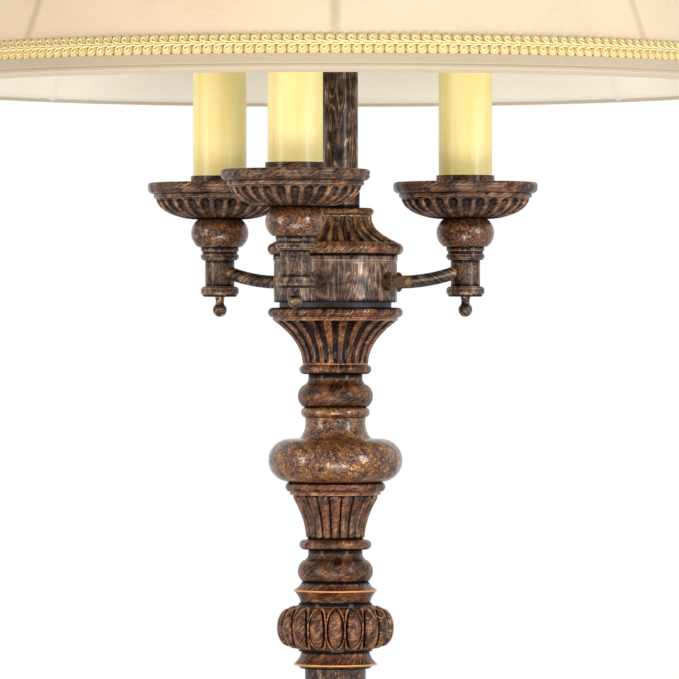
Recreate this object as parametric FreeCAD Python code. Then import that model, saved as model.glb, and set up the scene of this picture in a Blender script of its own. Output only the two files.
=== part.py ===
import FreeCAD
import Part
import math
import os

# Candlestick floor lamp: a weighted round base, a turned and fluted column clamped on one threaded pipe, a drum
# with a rotary switch, three candle arms, and a stem that carries a panelled fabric shade.
# Millimetres. Z is up, the origin is on the floor at the middle of the base, and the lamp faces -Y.
# An azimuth is counted from -Y, and is positive towards +X.

V = FreeCAD.Vector

# ---------------------------------------------------------------- fits
SLIDE_FIT = 0.3          # radial room of a piece that is slipped over another
TUBE_FIT = 0.1           # radial room of a tube in its hole, and of a nut on its thread
TURN_FIT = 0.08          # radial room of a shaft that turns
REST_GAP = 0.3           # gap under a piece that turns on another

# ---------------------------------------------------------------- centre pipe and fasteners
PIPE_R = 4.9             # threaded steel pipe that clamps the column, and the nipple under each candle
PIPE_WALL = 1.5
PIPE_END = 1.5           # thread that stands out of a nut
NUT_FLATS = 15.0         # across the flats of the pipe's nuts
NUT_H = 5.0
WASHER_R = 14.0
WASHER_T = 1.6
END_WALL = 4.0           # wall left at the ends of a cored casting
CORE_WALL = 4.0          # wall left round the core of a casting

# ---------------------------------------------------------------- base
FELT_T = 2.0
FELT_INSET = 3.4         # felt's edge inside the foot's
FOOT_R = 152.4           # 12 inch foot
FOOT_EDGE_H = 15.0       # height of the foot's rolled edge
FOOT_EDGE_ROLL = 2.5     # how far the edge is rounded out
FOOT_STEP_W = 14.4       # edge and flat step, up to the cove
FOOT_COVE_W = 26.0       # cove, up to the bead above it
FOOT_COVE_H = 13.0
FOOT_COVE_SAG = 4.0
FOOT_BEAD_H = 5.0        # half-round bead above the cove
FOOT_SEAT_W = 2.0        # seat that shows round the dome
FOOT_OGEE_H = 15.0
FOOT_LIP_H = 2.0         # raised seat of the dome
FOOT_LIP_W = 6.0
FOOT_WALL = 4.0
WEIGHT_INSET = 8.0       # weight's edge inside the top of the cove
WEIGHT_H = 15.0
WEIGHT_HUB_R = 60.0
BUSH_BORE_R = 3.6        # cord outlet in the foot's edge
BUSH_WALL = 1.4
BUSH_FLANGE_R = 6.2
BUSH_FLANGE_T = 1.5
BUSH_RECESS = 1.0        # depth of the flat that the flange lies on
BUSH_L = 11.0

# fluted dome on the foot
DOME_RIM_R = 70.0
DOME_RIM_H = 9.0
DOME_FLUTE_TOP_R = 25.0
DOME_FLUTE_BASE_R = 63.0
DOME_FLUTE_H = 31.0
DOME_FLARE = 2.6         # power of the curve that the flutes follow
DOME_HEAD_R = 29.0
DOME_HEAD_H = 6.0
DOME_FLUTES = 28
DOME_WALL = 8.0

# ---------------------------------------------------------------- column pieces, each standing on the one below
LOWER_KNOB_R = 43.0
LOWER_KNOB_H = 36.0
LOWER_KNOB_BALL_H = 23.6
LOWER_KNOB_NECK_R = 20.1
LOWER_KNOB_RING_R = 23.4
LOWER_VASE_H = 46.0
LOWER_VASE_RIM_R = 31.0
LOWER_VASE_FOOT_R = 18.0
LOWER_VASE_TOP_R = 27.0
POLE_R = 17.1
POLE_WALL = 1.5
POLE_LOWER_L = 314.0
POLE_UPPER_L = 330.0
POLE_BUSH_H = 10.0       # bushing in each end of a pole tube
COUPLING_R = 23.0
COUPLING_H = 26.0
COUPLING_LIP_H = 4.0

COLLAR_R = 23.5          # sharp edge of the flared collars
COLLAR_NECK_R = 19.0
COLLAR_BOTTOM_H = 9.6
COLLAR_TOP_H = 11.8
COLLAR_EDGE_R = 0.6
COLLAR_BOTTOM_EDGE = 0.24  # height of the sharp edge as a share of the collar's
COLLAR_TOP_EDGE = 0.6
MELON_R = 33.3           # lobed ring
MELON_NECK_R = 21.0
MELON_H = 27.0
MELON_BAND_H = 2.6       # plain band at each end of the lobes
MELON_LOBES = 18
MELON_LOBE_DEPTH = 3.0
BULGE_R = 21.1
BULGE_NECK_R = 15.2
BULGE_NECK_H = 5.0
BULGE_H = 18.3
VASE_LOWER_H = 37.9
VASE_LOWER_RIM_R = 28.1
VASE_LOWER_FOOT_R = 16.4
VASE_LOWER_TOP_R = 24.6
VASE_LOWER_FLUTES = 20
VASE_LOWER_FLARE = 1.9
KNOB_R = 37.7            # stone-effect knob
KNOB_H = 42.2
KNOB_BALL_H = 24.2       # height of its wide part
KNOB_NECK_R = 17.1
KNOB_RING_R = 19.4
KNOB_RING_H = 6.2
VASE_UPPER_H = 37.4
VASE_UPPER_RIM_R = 37.9
VASE_UPPER_FOOT_R = 18.3
VASE_UPPER_TOP_R = 34.2
VASE_UPPER_FLUTES = 22
VASE_UPPER_FLARE = 2.1
VASE_RIM_H = 4.6
VASE_FILLET_H = 2.6      # plain band under a vase's rim
VASE_FILLET_W = 0.9
VASE_RING_R = 20.2       # ring round the foot of a vase
VASE_RING_H = 5.4
FLUTE_DEPTH = 0.13       # depth of a flute as a share of its width

# ---------------------------------------------------------------- drum and cap
SPACER_R = 31.5          # dark spacer in the recess under the drum
SPACER_H = 2.9
DRUM_R = 34.6
DRUM_WALL = 1.8
DRUM_FLOOR = 3.0
DRUM_H = 26.6
DRUM_BAND_H = 3.9        # raised band at the top of the drum
DRUM_BAND_T = 0.4
PORT_H = 11.6            # arms and switch leave the drum this far above its underside
CAP_RIM_R = 38.2
CAP_RIM_H = 6.7
CAP_FLUTE_TOP_R = 20.2
CAP_FLUTE_BASE_R = 36.0
CAP_FLUTE_H = 15.2
CAP_FLARE = 2.4
CAP_HEAD_R = 21.6
CAP_HEAD_H = 4.5
CAP_FLUTES = 28
CAP_WALL = 3.0
CAP_SPIGOT_H = 3.0

# ---------------------------------------------------------------- stem and shade seat
STEM_R = 12.7            # 1 inch tube
STEM_WALL = 1.2
STEM_L = 376.4
STEM_INSERT_H = 18.0     # threaded insert in the foot of the stem
STEM_COLLAR_T = 0.9
STEM_COLLAR_H = 9.0
STUD_R = 3.1
STUD_PLUG_H = 15.0
STUD_OUT = 16.0          # stud above the spider's hub
STUD_TIP_ROOM = 1.0      # left over it in the finial
SEAT_R = 15.5
SEAT_H = 5.0

# ---------------------------------------------------------------- arms
ARM_REACH = 81.4         # from the lamp's axis to a candle's axis
ARM_AZIMUTH = {"front": -15.7, "right": 115.0, "left": -126.0}
ARM_TUBE_R = 3.7
ARM_TUBE_WALL = 0.8
ARM_BEND = {"front": 25.9, "right": 17.0, "left": 17.0}  # upward bend, degrees; the arms are bent by hand
ARM_TAIL = 6.0           # threaded end inside the drum
ARM_COLLAR_R = 5.6
ARM_COLLAR_L = 5.0
ARM_NUT_FLATS = 10.4
ARM_NUT_H = 3.0

# casting under each candle, with a ball tip
CASTING_R = 8.3
CASTING_H = 28.3
CASTING_RING_R = 10.8
CASTING_FOOT = ((2, 1), (1, 1), (0, 4), (1, 1))  # rings from below: steps in from the widest, and steps high
CASTING_HEAD = ((1, 1), (0, 3), (1, 2), (0, 3))
CASTING_PORT_H = 15.7    # the arm's axis above the casting's underside, at the candle's axis
CASTING_FLOOR = 5.0
CASTING_BORE_H = 7.0     # length of nipple inside the casting
TIP_BALL_R = 3.9
TIP_NECK_R = 2.6
TIP_NECK_H = 4.6
TIP_STUD_R = 2.0
TIP_STUD_L = 4.0
TIP_FLARE = 0.8          # how far the neck widens under the casting

# stone-effect bead, drip cup, ring and sleeve on each nipple
BEAD_R = 16.4
BEAD_END_R = 12.3
BEAD_H = 15.9
CUP_R = 40.8
CUP_H = 20.8
CUP_FOOT_R = 12.4
CUP_BOWL_R = 36.2
CUP_BOWL_H = 11.6
CUP_FLARE = 0.42
CUP_STEP_W = 1.1         # fillet between the flutes and the rim
CUP_STEP_H = 2.9
CUP_RIM_SWELL = 1.2      # how far the rim's outside is rounded
CUP_RIM_T = 2.0          # wall of the rolled rim at its top
CUP_FLOOR_H = 12.6       # floor of the dish above the cup's underside
CUP_DISH_R = 31.0        # floor of the dish
CUP_FLUTES = 28
RING_R = 16.5
RING_H = 12.0
RING_FLOOR = 3.0
SLEEVE_R = 15.2
SLEEVE_WALL = 0.8
SLEEVE_L = 101.6         # 4 inch candle sleeve
SOCKET_RECESS = 2.0      # lip of the socket below the top of the sleeve
SOCKET_FOOT_H = 10.0
SOCKET_FOOT_WALL = 3.0
SOCKET_WAIST_R = 5.0
SOCKET_BACK_H = 12.0     # insulating body behind the screw shell
SOCKET_THREAD_L = 8.0    # nipple inside the socket's foot
BULB_CAP_R = 13.0        # medium screw cap
BULB_CAP_L = 24.0
BULB_R = 17.5
BULB_GLASS_L = 84.0
BULB_NECK_L = 6.0
BULB_CONTACT_R = 4.0

# ---------------------------------------------------------------- switch
SWITCH_AZIMUTH = 58.0
SWITCH_BODY_R = 8.3
SWITCH_BODY_L = 14.0
SWITCH_NECK_R = 3.4
SWITCH_NECK_OUT = 6.2    # threaded neck outside the drum
SWITCH_WASHER_R = 5.4
SWITCH_WASHER_T = 1.3
SWITCH_NUT_FLATS = 9.4
SWITCH_NUT_H = 2.6
KNOB_SHAFT_R = 1.9
KNOB_SHAFT_L = 6.0
KNOB_GRIP_R = 3.2
KNOB_GRIP_L = 7.4
KNOB_GRIP_FLUTES = 24
KNURL_DEPTH = 0.12

# ---------------------------------------------------------------- shade
SHADE_H = 330.0          # 13 inch
SHADE_BOTTOM_R = 241.3   # 19 inch
SHADE_TOP_R = 114.3      # 9 inch
SHADE_SAG = 5.0          # how far the side bows in
SHADE_PANELS = 8
COVER_T = 1.2
LINING_T = 0.8
LINING_BOTTOM = 5.0      # lining starts this far above the shade's lower edge
LINING_TOP = 8.0         # and ends this far below its upper edge
WIRE_W = 2.6             # square frame wire
FABRIC_GAP = 0.15
HEM_H = 7.8
HEM_T = 0.6
BRAID_H = 10.4
BRAID_T = 1.6
SPIDER_DROP = 14.0       # hub below the top of the shade
SPIDER_ROD_R = 1.1
SPIDER_ARMS = 3
SPIDER_HUB_R = 11.0
SPIDER_HUB_T = 2.4

# ---------------------------------------------------------------- finial
FINIAL_FOOT_R = 8.0
FINIAL_NECK_R = 4.8
FINIAL_URN_R = 10.5
FINIAL_URN_H = 26.0
FINIAL_LOWER_H = 16.0
FINIAL_TIP_R = 4.2
FINIAL_TIP_H = 14.0
FINIAL_SWELL = 0.8       # rounding of its small turned rings

PIECES = {}


# ================================================================ helpers
def radial(azimuth, radius, z=0.0):
    """Point at a radius and height on an azimuth."""
    a = math.radians(azimuth)
    return V(radius * math.sin(a), -radius * math.cos(a), z)


class Outline:
    """Half outline of a turned piece, drawn point by point as radius and height."""

    def __init__(self, r, z):
        self.start = V(r, 0, z)
        self.at = self.start
        self.edges = []

    def to(self, r, z):
        """Straight on to a point."""
        end = V(r, 0, z)
        if end.distanceToPoint(self.at) > 1e-6:
            self.edges.append(Part.LineSegment(self.at, end).toShape())
        self.at = end
        return self

    def arc(self, r, z, swell):
        """Arc to a point. Its middle stands swell to the right of the straight way there."""
        end = V(r, 0, z)
        way = end - self.at
        side = V(way.z, 0, -way.x).normalize()
        middle = (self.at + end) * 0.5 + side * swell
        self.edges.append(Part.Arc(self.at, middle, end).toShape())
        self.at = end
        return self

    def turned(self, z=0.0):
        """Solid of revolution about Z, lifted by z."""
        self.to(self.start.x, self.start.z)
        face = Part.Face(Part.Wire(self.edges))
        solid = face.revolve(V(0, 0, 0), V(0, 0, 1), 360)
        solid.translate(V(0, 0, z))
        return solid


def cylinder(r, z0, z1):
    """Upright cylinder between two heights."""
    return Part.makeCylinder(r, z1 - z0, V(0, 0, z0))


def tube(r_out, r_in, z0, z1):
    """Upright tube between two heights."""
    return cylinder(r_out, z0, z1).cut(cylinder(r_in, z0, z1))


def hexagon(flats, bore_r, z0, z1):
    """Hexagon nut between two heights."""
    corner = flats / math.sqrt(3)
    points = [V(corner * math.cos(math.radians(60 * i)), corner * math.sin(math.radians(60 * i)), z0)
              for i in range(7)]
    prism = Part.Face(Part.makePolygon(points)).extrude(V(0, 0, z1 - z0))
    return prism.cut(cylinder(bore_r, z0, z1))


def cored(solid, z0, z1, core_r):
    """Bores a casting for the centre pipe, and cores it out between its end walls."""
    bore_r = PIPE_R + SLIDE_FIT
    solid = solid.cut(cylinder(bore_r, z0, z1))
    if core_r > bore_r and z1 - z0 > 2 * END_WALL:
        solid = solid.cut(cylinder(core_r, z0 + END_WALL, z1 - END_WALL))
    return solid


def scalloped_wire(z, r, count, dip):
    """Closed ring of arcs between points at radius r. Their middles lie dip inside the chords, or outside if negative."""
    step = 2 * math.pi / count
    mid_r = r * math.cos(step / 2) - dip
    edges = []
    for i in range(count):
        a = (i - 0.5) * step - math.pi / 2
        first = V(r * math.cos(a), r * math.sin(a), z)
        last = V(r * math.cos(a + step), r * math.sin(a + step), z)
        middle = V(mid_r * math.cos(a + step / 2), mid_r * math.sin(a + step / 2), z)
        edges.append(Part.Arc(first, middle, last).toShape())
    return Part.Wire(edges)


def fluted(z0, z1, r0, r1, count, power, sections=5):
    """Solid whose radius goes from r0 at z0 to r1 at z1 by a power curve, with hollow flutes between ridges."""
    wires = []
    for i in range(sections):
        share = i / (sections - 1)
        t = share ** (1 / power)
        r = r0 + (r1 - r0) * share
        flute_width = 2 * math.pi * r / count
        wires.append(scalloped_wire(z0 + (z1 - z0) * t, r, count, FLUTE_DEPTH * flute_width))
    if z1 < z0:
        wires.reverse()
    return Part.makeLoft(wires, True, False)


def lobed(z0, z1, neck_r, lobe_r, count, depth, sections=7):
    """Ring of upright convex lobes that swells from neck_r at both ends to lobe_r in the middle."""
    wires = []
    for i in range(sections):
        angle = math.pi * i / (sections - 1)
        swell = max(math.sin(angle), 0.0) ** 0.9
        z = (z0 + z1) / 2 - math.cos(angle) * (z1 - z0) / 2
        peak = neck_r + (lobe_r - neck_r) * swell
        valley = peak - depth * (0.06 + 0.94 * swell)
        wires.append(scalloped_wire(z, valley, count, valley * math.cos(math.pi / count) - peak))
    return Part.makeLoft(wires, True, False)


def keep(name, *shapes):
    """Files one or more solids under a node's name."""
    PIECES[name] = shapes


def to_azimuth(shape, azimuth):
    """Copy of a shape made on the -Y side, turned to an azimuth."""
    moved = shape.copy()
    moved.rotate(V(0, 0, 0), V(0, 0, 1), azimuth)
    return moved


def to_candle(shape, arm):
    """Copy of a shape made on the Z axis, moved to an arm's candle and turned to face out."""
    moved = to_azimuth(shape, ARM_AZIMUTH[arm])
    moved.translate(radial(ARM_AZIMUTH[arm], ARM_REACH))
    return moved


def outward(r, r0, r1, z):
    """Cylinder along -Y between two distances from the lamp's axis."""
    return Part.makeCylinder(r, r1 - r0, V(0, -r0, z), V(0, -1, 0))


def laid_outward(shape, r0, z):
    """Turns a piece made upwards from zero to point along -Y, with its foot r0 from the lamp's axis."""
    moved = shape.copy()
    moved.rotate(V(0, 0, 0), V(1, 0, 0), 90)
    moved.translate(V(0, -r0, z))
    return moved


def flat_inside(radius, half_width):
    """Distance from the axis at which a flat face of that half width fits inside a round wall."""
    return math.sqrt(radius ** 2 - half_width ** 2)


# ================================================================ base
def foot_outline(inset):
    """Outline of the foot, taken in by a wall. The foot's underside is at zero."""
    step_r = FOOT_R - FOOT_STEP_W
    cove_r = step_r - FOOT_COVE_W
    top_r = DOME_RIM_R + FOOT_SEAT_W
    shape = Outline(0, 0).to(FOOT_R - FOOT_EDGE_ROLL - inset, 0)
    z = FOOT_EDGE_H - inset
    shape.arc(FOOT_R - FOOT_EDGE_ROLL - inset, z, FOOT_EDGE_ROLL).to(step_r - inset, z)
    z += FOOT_COVE_H
    shape.arc(cove_r - inset, z, -FOOT_COVE_SAG)
    z += FOOT_BEAD_H
    shape.arc(cove_r - inset - FOOT_BEAD_H / 2, z, FOOT_BEAD_H / 2)
    z += FOOT_OGEE_H - FOOT_LIP_H
    shape.arc(top_r + FOOT_LIP_W - inset, z, -FOOT_BEAD_H / 2).to(top_r - inset, z)
    z += FOOT_LIP_H
    return shape.to(top_r - inset, z).to(0, z)


def make_foot():
    """Felt, hollow foot, weight inside it, cord outlet, and the nut that clamps them to the pipe."""
    bore_r = PIPE_R + SLIDE_FIT
    top = FELT_T + FOOT_EDGE_H + FOOT_COVE_H + FOOT_BEAD_H + FOOT_OGEE_H
    keep("base_felt", cylinder(FOOT_R - FELT_INSET, 0, FELT_T))
    foot = foot_outline(0).turned(FELT_T).cut(foot_outline(FOOT_WALL).turned(FELT_T))
    foot = foot.cut(cylinder(bore_r, 0, top))

    bush_r = BUSH_BORE_R + BUSH_WALL
    bush_z = FELT_T + FOOT_EDGE_H / 2
    seat_y = FOOT_R - BUSH_RECESS
    back = V(0, 1, 0)
    hole = Part.makeCylinder(bush_r + TUBE_FIT, BUSH_L + FOOT_WALL, V(0, seat_y - BUSH_L, bush_z), back)
    recess = Part.makeCylinder(BUSH_FLANGE_R + TUBE_FIT, BUSH_FLANGE_R, V(0, seat_y, bush_z), back)
    keep("base_foot", foot.cut(hole).cut(recess))
    bush = Part.makeCylinder(bush_r, BUSH_L, V(0, seat_y + BUSH_FLANGE_T - BUSH_L, bush_z), back)
    flange = Part.makeCylinder(BUSH_FLANGE_R, BUSH_FLANGE_T, V(0, seat_y, bush_z), back)
    bore = Part.makeCylinder(BUSH_BORE_R, 2 * BUSH_L, V(0, seat_y - BUSH_L, bush_z), back)
    keep("cord_bushing", bush.fuse(flange).removeSplitter().cut(bore))

    ceiling = top - FOOT_WALL
    low = ceiling - FOOT_OGEE_H - FOOT_BEAD_H + FOOT_WALL - WEIGHT_H
    weight_r = FOOT_R - FOOT_STEP_W - FOOT_COVE_W - WEIGHT_INSET
    weight = cylinder(weight_r, low, low + WEIGHT_H).fuse(cylinder(WEIGHT_HUB_R, low, ceiling))
    keep("base_weight", weight.removeSplitter().cut(cylinder(bore_r, low, ceiling)))
    washer = tube(WASHER_R, bore_r, low - WASHER_T, low)
    nut_z = low - WASHER_T - NUT_H
    keep("base_nut", washer, hexagon(NUT_FLATS, PIPE_R + TUBE_FIT, nut_z, nut_z + NUT_H))
    return nut_z, top


def make_dome(z):
    """Fluted bell-shaped dome on the foot. Returns the height of its top."""
    roll = DOME_RIM_H / 2
    rim_top = z + DOME_RIM_H
    head_z = rim_top + DOME_FLUTE_H
    top = head_z + DOME_HEAD_H
    rim = Outline(0, 0).to(DOME_RIM_R - roll, 0).arc(DOME_RIM_R - roll, DOME_RIM_H, roll).to(0, DOME_RIM_H)
    flutes = fluted(head_z, rim_top, DOME_FLUTE_TOP_R, DOME_FLUTE_BASE_R, DOME_FLUTES, DOME_FLARE)
    roll = DOME_HEAD_H / 2
    head = Outline(0, 0).to(DOME_HEAD_R - roll, 0).arc(DOME_HEAD_R - roll, DOME_HEAD_H, roll).to(0, DOME_HEAD_H)
    dome = rim.turned(z).fuse([flutes, head.turned(head_z)])
    base_r = DOME_FLUTE_BASE_R - DOME_WALL
    hollow = Outline(0, 0).to(base_r, 0).to(base_r, DOME_RIM_H - DOME_WALL / 2)
    hollow.arc(DOME_FLUTE_TOP_R - DOME_WALL, DOME_RIM_H + DOME_FLUTE_H - DOME_WALL / 2, -DOME_RIM_H)
    hollow.to(0, DOME_RIM_H + DOME_FLUTE_H - DOME_WALL / 2)
    keep("base_dome", dome.cut(hollow.turned(z)).cut(cylinder(PIPE_R + SLIDE_FIT, z, top)))
    return top


# ================================================================ column castings
def collar(z, height, edge_share):
    """Flared collar with one sharp edge, which lies at a share of its height."""
    edge_z = height * edge_share
    edge_r = COLLAR_R - COLLAR_EDGE_R
    shape = Outline(0, 0).to(COLLAR_NECK_R + COLLAR_EDGE_R, 0).arc(edge_r, edge_z - COLLAR_EDGE_R, -COLLAR_EDGE_R)
    shape.arc(edge_r, edge_z + COLLAR_EDGE_R, COLLAR_EDGE_R).arc(COLLAR_NECK_R, height, -COLLAR_EDGE_R)
    return cored(shape.to(0, height).turned(z), z, z + height, COLLAR_NECK_R - CORE_WALL)


def melon(z):
    """Lobed ring between two plain bands."""
    lobes = lobed(z + MELON_BAND_H, z + MELON_H - MELON_BAND_H, MELON_NECK_R, MELON_R, MELON_LOBES,
                  MELON_LOBE_DEPTH)
    bands = cylinder(MELON_NECK_R - MELON_LOBE_DEPTH * 0.1, z, z + MELON_H)
    return cored(lobes.fuse(bands), z, z + MELON_H, MELON_NECK_R - CORE_WALL)


def bulge(z):
    """Cushion-shaped ring with a waisted neck above it."""
    body_h = BULGE_H - BULGE_NECK_H
    swell = BULGE_R - BULGE_NECK_R
    shape = Outline(0, 0).to(BULGE_R - swell / 2, 0).arc(BULGE_R - swell / 2, body_h * 0.9, swell / 2)
    shape.arc(BULGE_NECK_R, body_h + BULGE_NECK_H / 2, -swell / 8).to(BULGE_NECK_R, BULGE_H).to(0, BULGE_H)
    return cored(shape.turned(z), z, z + BULGE_H, BULGE_NECK_R - CORE_WALL)


def vase(z, height, rim_r, foot_r, top_r, flutes, power, rolled):
    """Fluted vase: a ring at its foot, flutes that flare upwards, a plain band and a rolled or a square rim."""
    roll = VASE_RING_H / 2
    rim_z = height - VASE_RIM_H
    band_z = rim_z - VASE_FILLET_H
    ring = Outline(0, 0).to(VASE_RING_R - roll, 0).arc(VASE_RING_R - roll, VASE_RING_H, roll).to(0, VASE_RING_H)
    flare = fluted(z + VASE_RING_H, z + band_z, foot_r, top_r, flutes, power)
    rim = Outline(0, band_z).to(top_r + VASE_FILLET_W, band_z).to(top_r + VASE_FILLET_W, rim_z)
    roll = VASE_RIM_H / 2
    if rolled:
        rim.to(rim_r - roll, rim_z).arc(rim_r - roll, height, roll)
    else:
        rim.arc(rim_r, height - roll / 2, roll / 2).to(rim_r, height)
    solid = flare.fuse([ring.turned(z), rim.to(0, height).turned(z)])
    return cored(solid, z, z + height, foot_r - CORE_WALL)


def stone_knob(z, height, ball_r, ball_h, neck_r, ring_r):
    """Stone-effect knob: a wide rounded ring below, a waist and a small ring above."""
    roll = ball_h / 2
    waist_z = height - KNOB_RING_H
    ring_roll = KNOB_RING_H / 2
    shape = Outline(0, 0).to(ball_r - roll, 0).arc(ball_r - roll, ball_h, roll * 0.999)
    shape.to(neck_r + ring_roll / 3, ball_h).arc(neck_r, waist_z, -ring_roll / 3)
    shape.to(ring_r - ring_roll, waist_z).arc(ring_r - ring_roll, height, ring_roll).to(0, height)
    return cored(shape.turned(z), z, z + height, neck_r - CORE_WALL)


def pole_tube(z, length):
    """Plain tube with a bushing in each end that centres it on the pipe."""
    skin = tube(POLE_R, POLE_R - POLE_WALL, z, z + length)
    bore_r = PIPE_R + SLIDE_FIT
    ends = [tube(POLE_R - POLE_WALL / 2, bore_r, low, low + POLE_BUSH_H) for low in (z, z + length - POLE_BUSH_H)]
    return skin.fuse(ends).removeSplitter()


def coupling(z):
    """Turned ring between the two pole tubes."""
    lip_r = POLE_R + COUPLING_LIP_H / 2
    roll = COUPLING_LIP_H / 2
    mid_z = COUPLING_LIP_H * 2
    shape = Outline(0, 0).to(lip_r, 0).arc(lip_r, COUPLING_LIP_H, roll)
    shape.arc(COUPLING_R - roll, mid_z, -roll / 2).arc(COUPLING_R - roll, COUPLING_H - mid_z, roll)
    shape.arc(lip_r, COUPLING_H - COUPLING_LIP_H, -roll / 2).arc(lip_r, COUPLING_H, roll).to(0, COUPLING_H)
    return cored(shape.turned(z), z, z + COUPLING_H, POLE_R - CORE_WALL)


def make_column(z):
    """Stacks the castings and tubes on the dome. Returns the height of the top."""
    keep("lower_knob", stone_knob(z, LOWER_KNOB_H, LOWER_KNOB_R, LOWER_KNOB_BALL_H, LOWER_KNOB_NECK_R,
                                  LOWER_KNOB_RING_R))
    z += LOWER_KNOB_H
    keep("lower_vase", vase(z, LOWER_VASE_H, LOWER_VASE_RIM_R, LOWER_VASE_FOOT_R, LOWER_VASE_TOP_R,
                            VASE_LOWER_FLUTES, VASE_LOWER_FLARE, False))
    z += LOWER_VASE_H
    rings = [collar(z, COLLAR_BOTTOM_H, COLLAR_BOTTOM_EDGE), melon(z + COLLAR_BOTTOM_H)]
    rings.append(collar(z + COLLAR_BOTTOM_H + MELON_H, COLLAR_TOP_H, COLLAR_TOP_EDGE))
    keep("lower_melon_ring", *rings)
    z += COLLAR_BOTTOM_H + MELON_H + COLLAR_TOP_H
    keep("pole_lower", pole_tube(z, POLE_LOWER_L))
    z += POLE_LOWER_L
    keep("pole_coupling", coupling(z))
    z += COUPLING_H
    keep("pole_upper", pole_tube(z, POLE_UPPER_L))
    z += POLE_UPPER_L
    keep("collar_bottom", collar(z, COLLAR_BOTTOM_H, COLLAR_BOTTOM_EDGE))
    z += COLLAR_BOTTOM_H
    keep("melon_ring", melon(z))
    z += MELON_H
    keep("collar_top", collar(z, COLLAR_TOP_H, COLLAR_TOP_EDGE))
    z += COLLAR_TOP_H
    keep("bulge_lower", bulge(z))
    z += BULGE_H
    keep("vase_lower", vase(z, VASE_LOWER_H, VASE_LOWER_RIM_R, VASE_LOWER_FOOT_R, VASE_LOWER_TOP_R,
                            VASE_LOWER_FLUTES, VASE_LOWER_FLARE, False))
    z += VASE_LOWER_H
    keep("stone_knob", stone_knob(z, KNOB_H, KNOB_R, KNOB_BALL_H, KNOB_NECK_R, KNOB_RING_R))
    z += KNOB_H
    keep("bulge_upper", bulge(z))
    z += BULGE_H
    keep("vase_upper", vase(z, VASE_UPPER_H, VASE_UPPER_RIM_R, VASE_UPPER_FOOT_R, VASE_UPPER_TOP_R,
                            VASE_UPPER_FLUTES, VASE_UPPER_FLARE, True))
    return z + VASE_UPPER_H


# ================================================================ drum and cap
def make_drum(z):
    """Spacer, hollow drum and the nuts inside it. Returns the arms' height and the drum's top."""
    bore_r = PIPE_R + SLIDE_FIT
    keep("drum_spacer", tube(SPACER_R, bore_r, z, z + SPACER_H))
    z += SPACER_H
    top = z + DRUM_H
    port_z = z + PORT_H
    band = cylinder(DRUM_R + DRUM_BAND_T, top - DRUM_BAND_H, top)
    drum = cylinder(DRUM_R, z, top).fuse(band).cut(cylinder(DRUM_R - DRUM_WALL, z + DRUM_FLOOR, top))
    drum = drum.cut(cylinder(bore_r, z, z + DRUM_FLOOR))
    for azimuth in ARM_AZIMUTH.values():
        hole = outward(ARM_TUBE_R + TUBE_FIT, DRUM_R / 2, 2 * DRUM_R, port_z)
        drum = drum.cut(to_azimuth(hole, azimuth))
    hole = outward(SWITCH_NECK_R + TUBE_FIT, DRUM_R / 2, 2 * DRUM_R, port_z)
    keep("drum", drum.cut(to_azimuth(hole, SWITCH_AZIMUTH)))

    floor_z = z + DRUM_FLOOR
    nuts = [hexagon(NUT_FLATS, PIPE_R + TUBE_FIT, floor_z, floor_z + NUT_H)]
    face_r = flat_inside(DRUM_R - DRUM_WALL, ARM_NUT_FLATS / math.sqrt(3))
    nut = laid_outward(hexagon(ARM_NUT_FLATS, ARM_TUBE_R + TUBE_FIT, 0, ARM_NUT_H), face_r - ARM_NUT_H, port_z)
    nuts += [to_azimuth(nut, azimuth) for azimuth in ARM_AZIMUTH.values()]
    keep("drum_nuts", *nuts)
    return port_z, top


def make_cap(z):
    """Fluted cap that closes the drum. Returns the height of its top."""
    roll = CAP_RIM_H / 2
    head_z = z + CAP_RIM_H + CAP_FLUTE_H
    top = head_z + CAP_HEAD_H
    rim = Outline(0, 0).to(CAP_RIM_R - roll, 0).arc(CAP_RIM_R - roll, CAP_RIM_H, roll).to(0, CAP_RIM_H)
    flutes = fluted(head_z, z + CAP_RIM_H, CAP_FLUTE_TOP_R, CAP_FLUTE_BASE_R, CAP_FLUTES, CAP_FLARE)
    roll = CAP_HEAD_H / 2
    head = Outline(0, 0).to(CAP_HEAD_R - roll, 0).arc(CAP_HEAD_R - roll, CAP_HEAD_H, roll).to(0, CAP_HEAD_H)
    spigot_r = DRUM_R - DRUM_WALL - TUBE_FIT
    spigot = cylinder(spigot_r, z - CAP_SPIGOT_H, z + CAP_RIM_H / 2)
    cap = rim.turned(z).fuse([flutes, head.turned(head_z), spigot])
    hollow = Outline(0, -CAP_SPIGOT_H).to(spigot_r - CAP_WALL, -CAP_SPIGOT_H)
    hollow.to(spigot_r - CAP_WALL, CAP_RIM_H - CAP_WALL)
    hollow.arc(CAP_FLUTE_TOP_R - 2 * CAP_WALL, CAP_RIM_H + CAP_FLUTE_H - CAP_WALL, -CAP_WALL)
    hollow.to(0, CAP_RIM_H + CAP_FLUTE_H - CAP_WALL)
    cap = cap.cut(hollow.turned(z)).cut(cylinder(PIPE_R + SLIDE_FIT, head_z - CAP_WALL, top))
    keep("drum_cap", cap)
    return top


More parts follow.
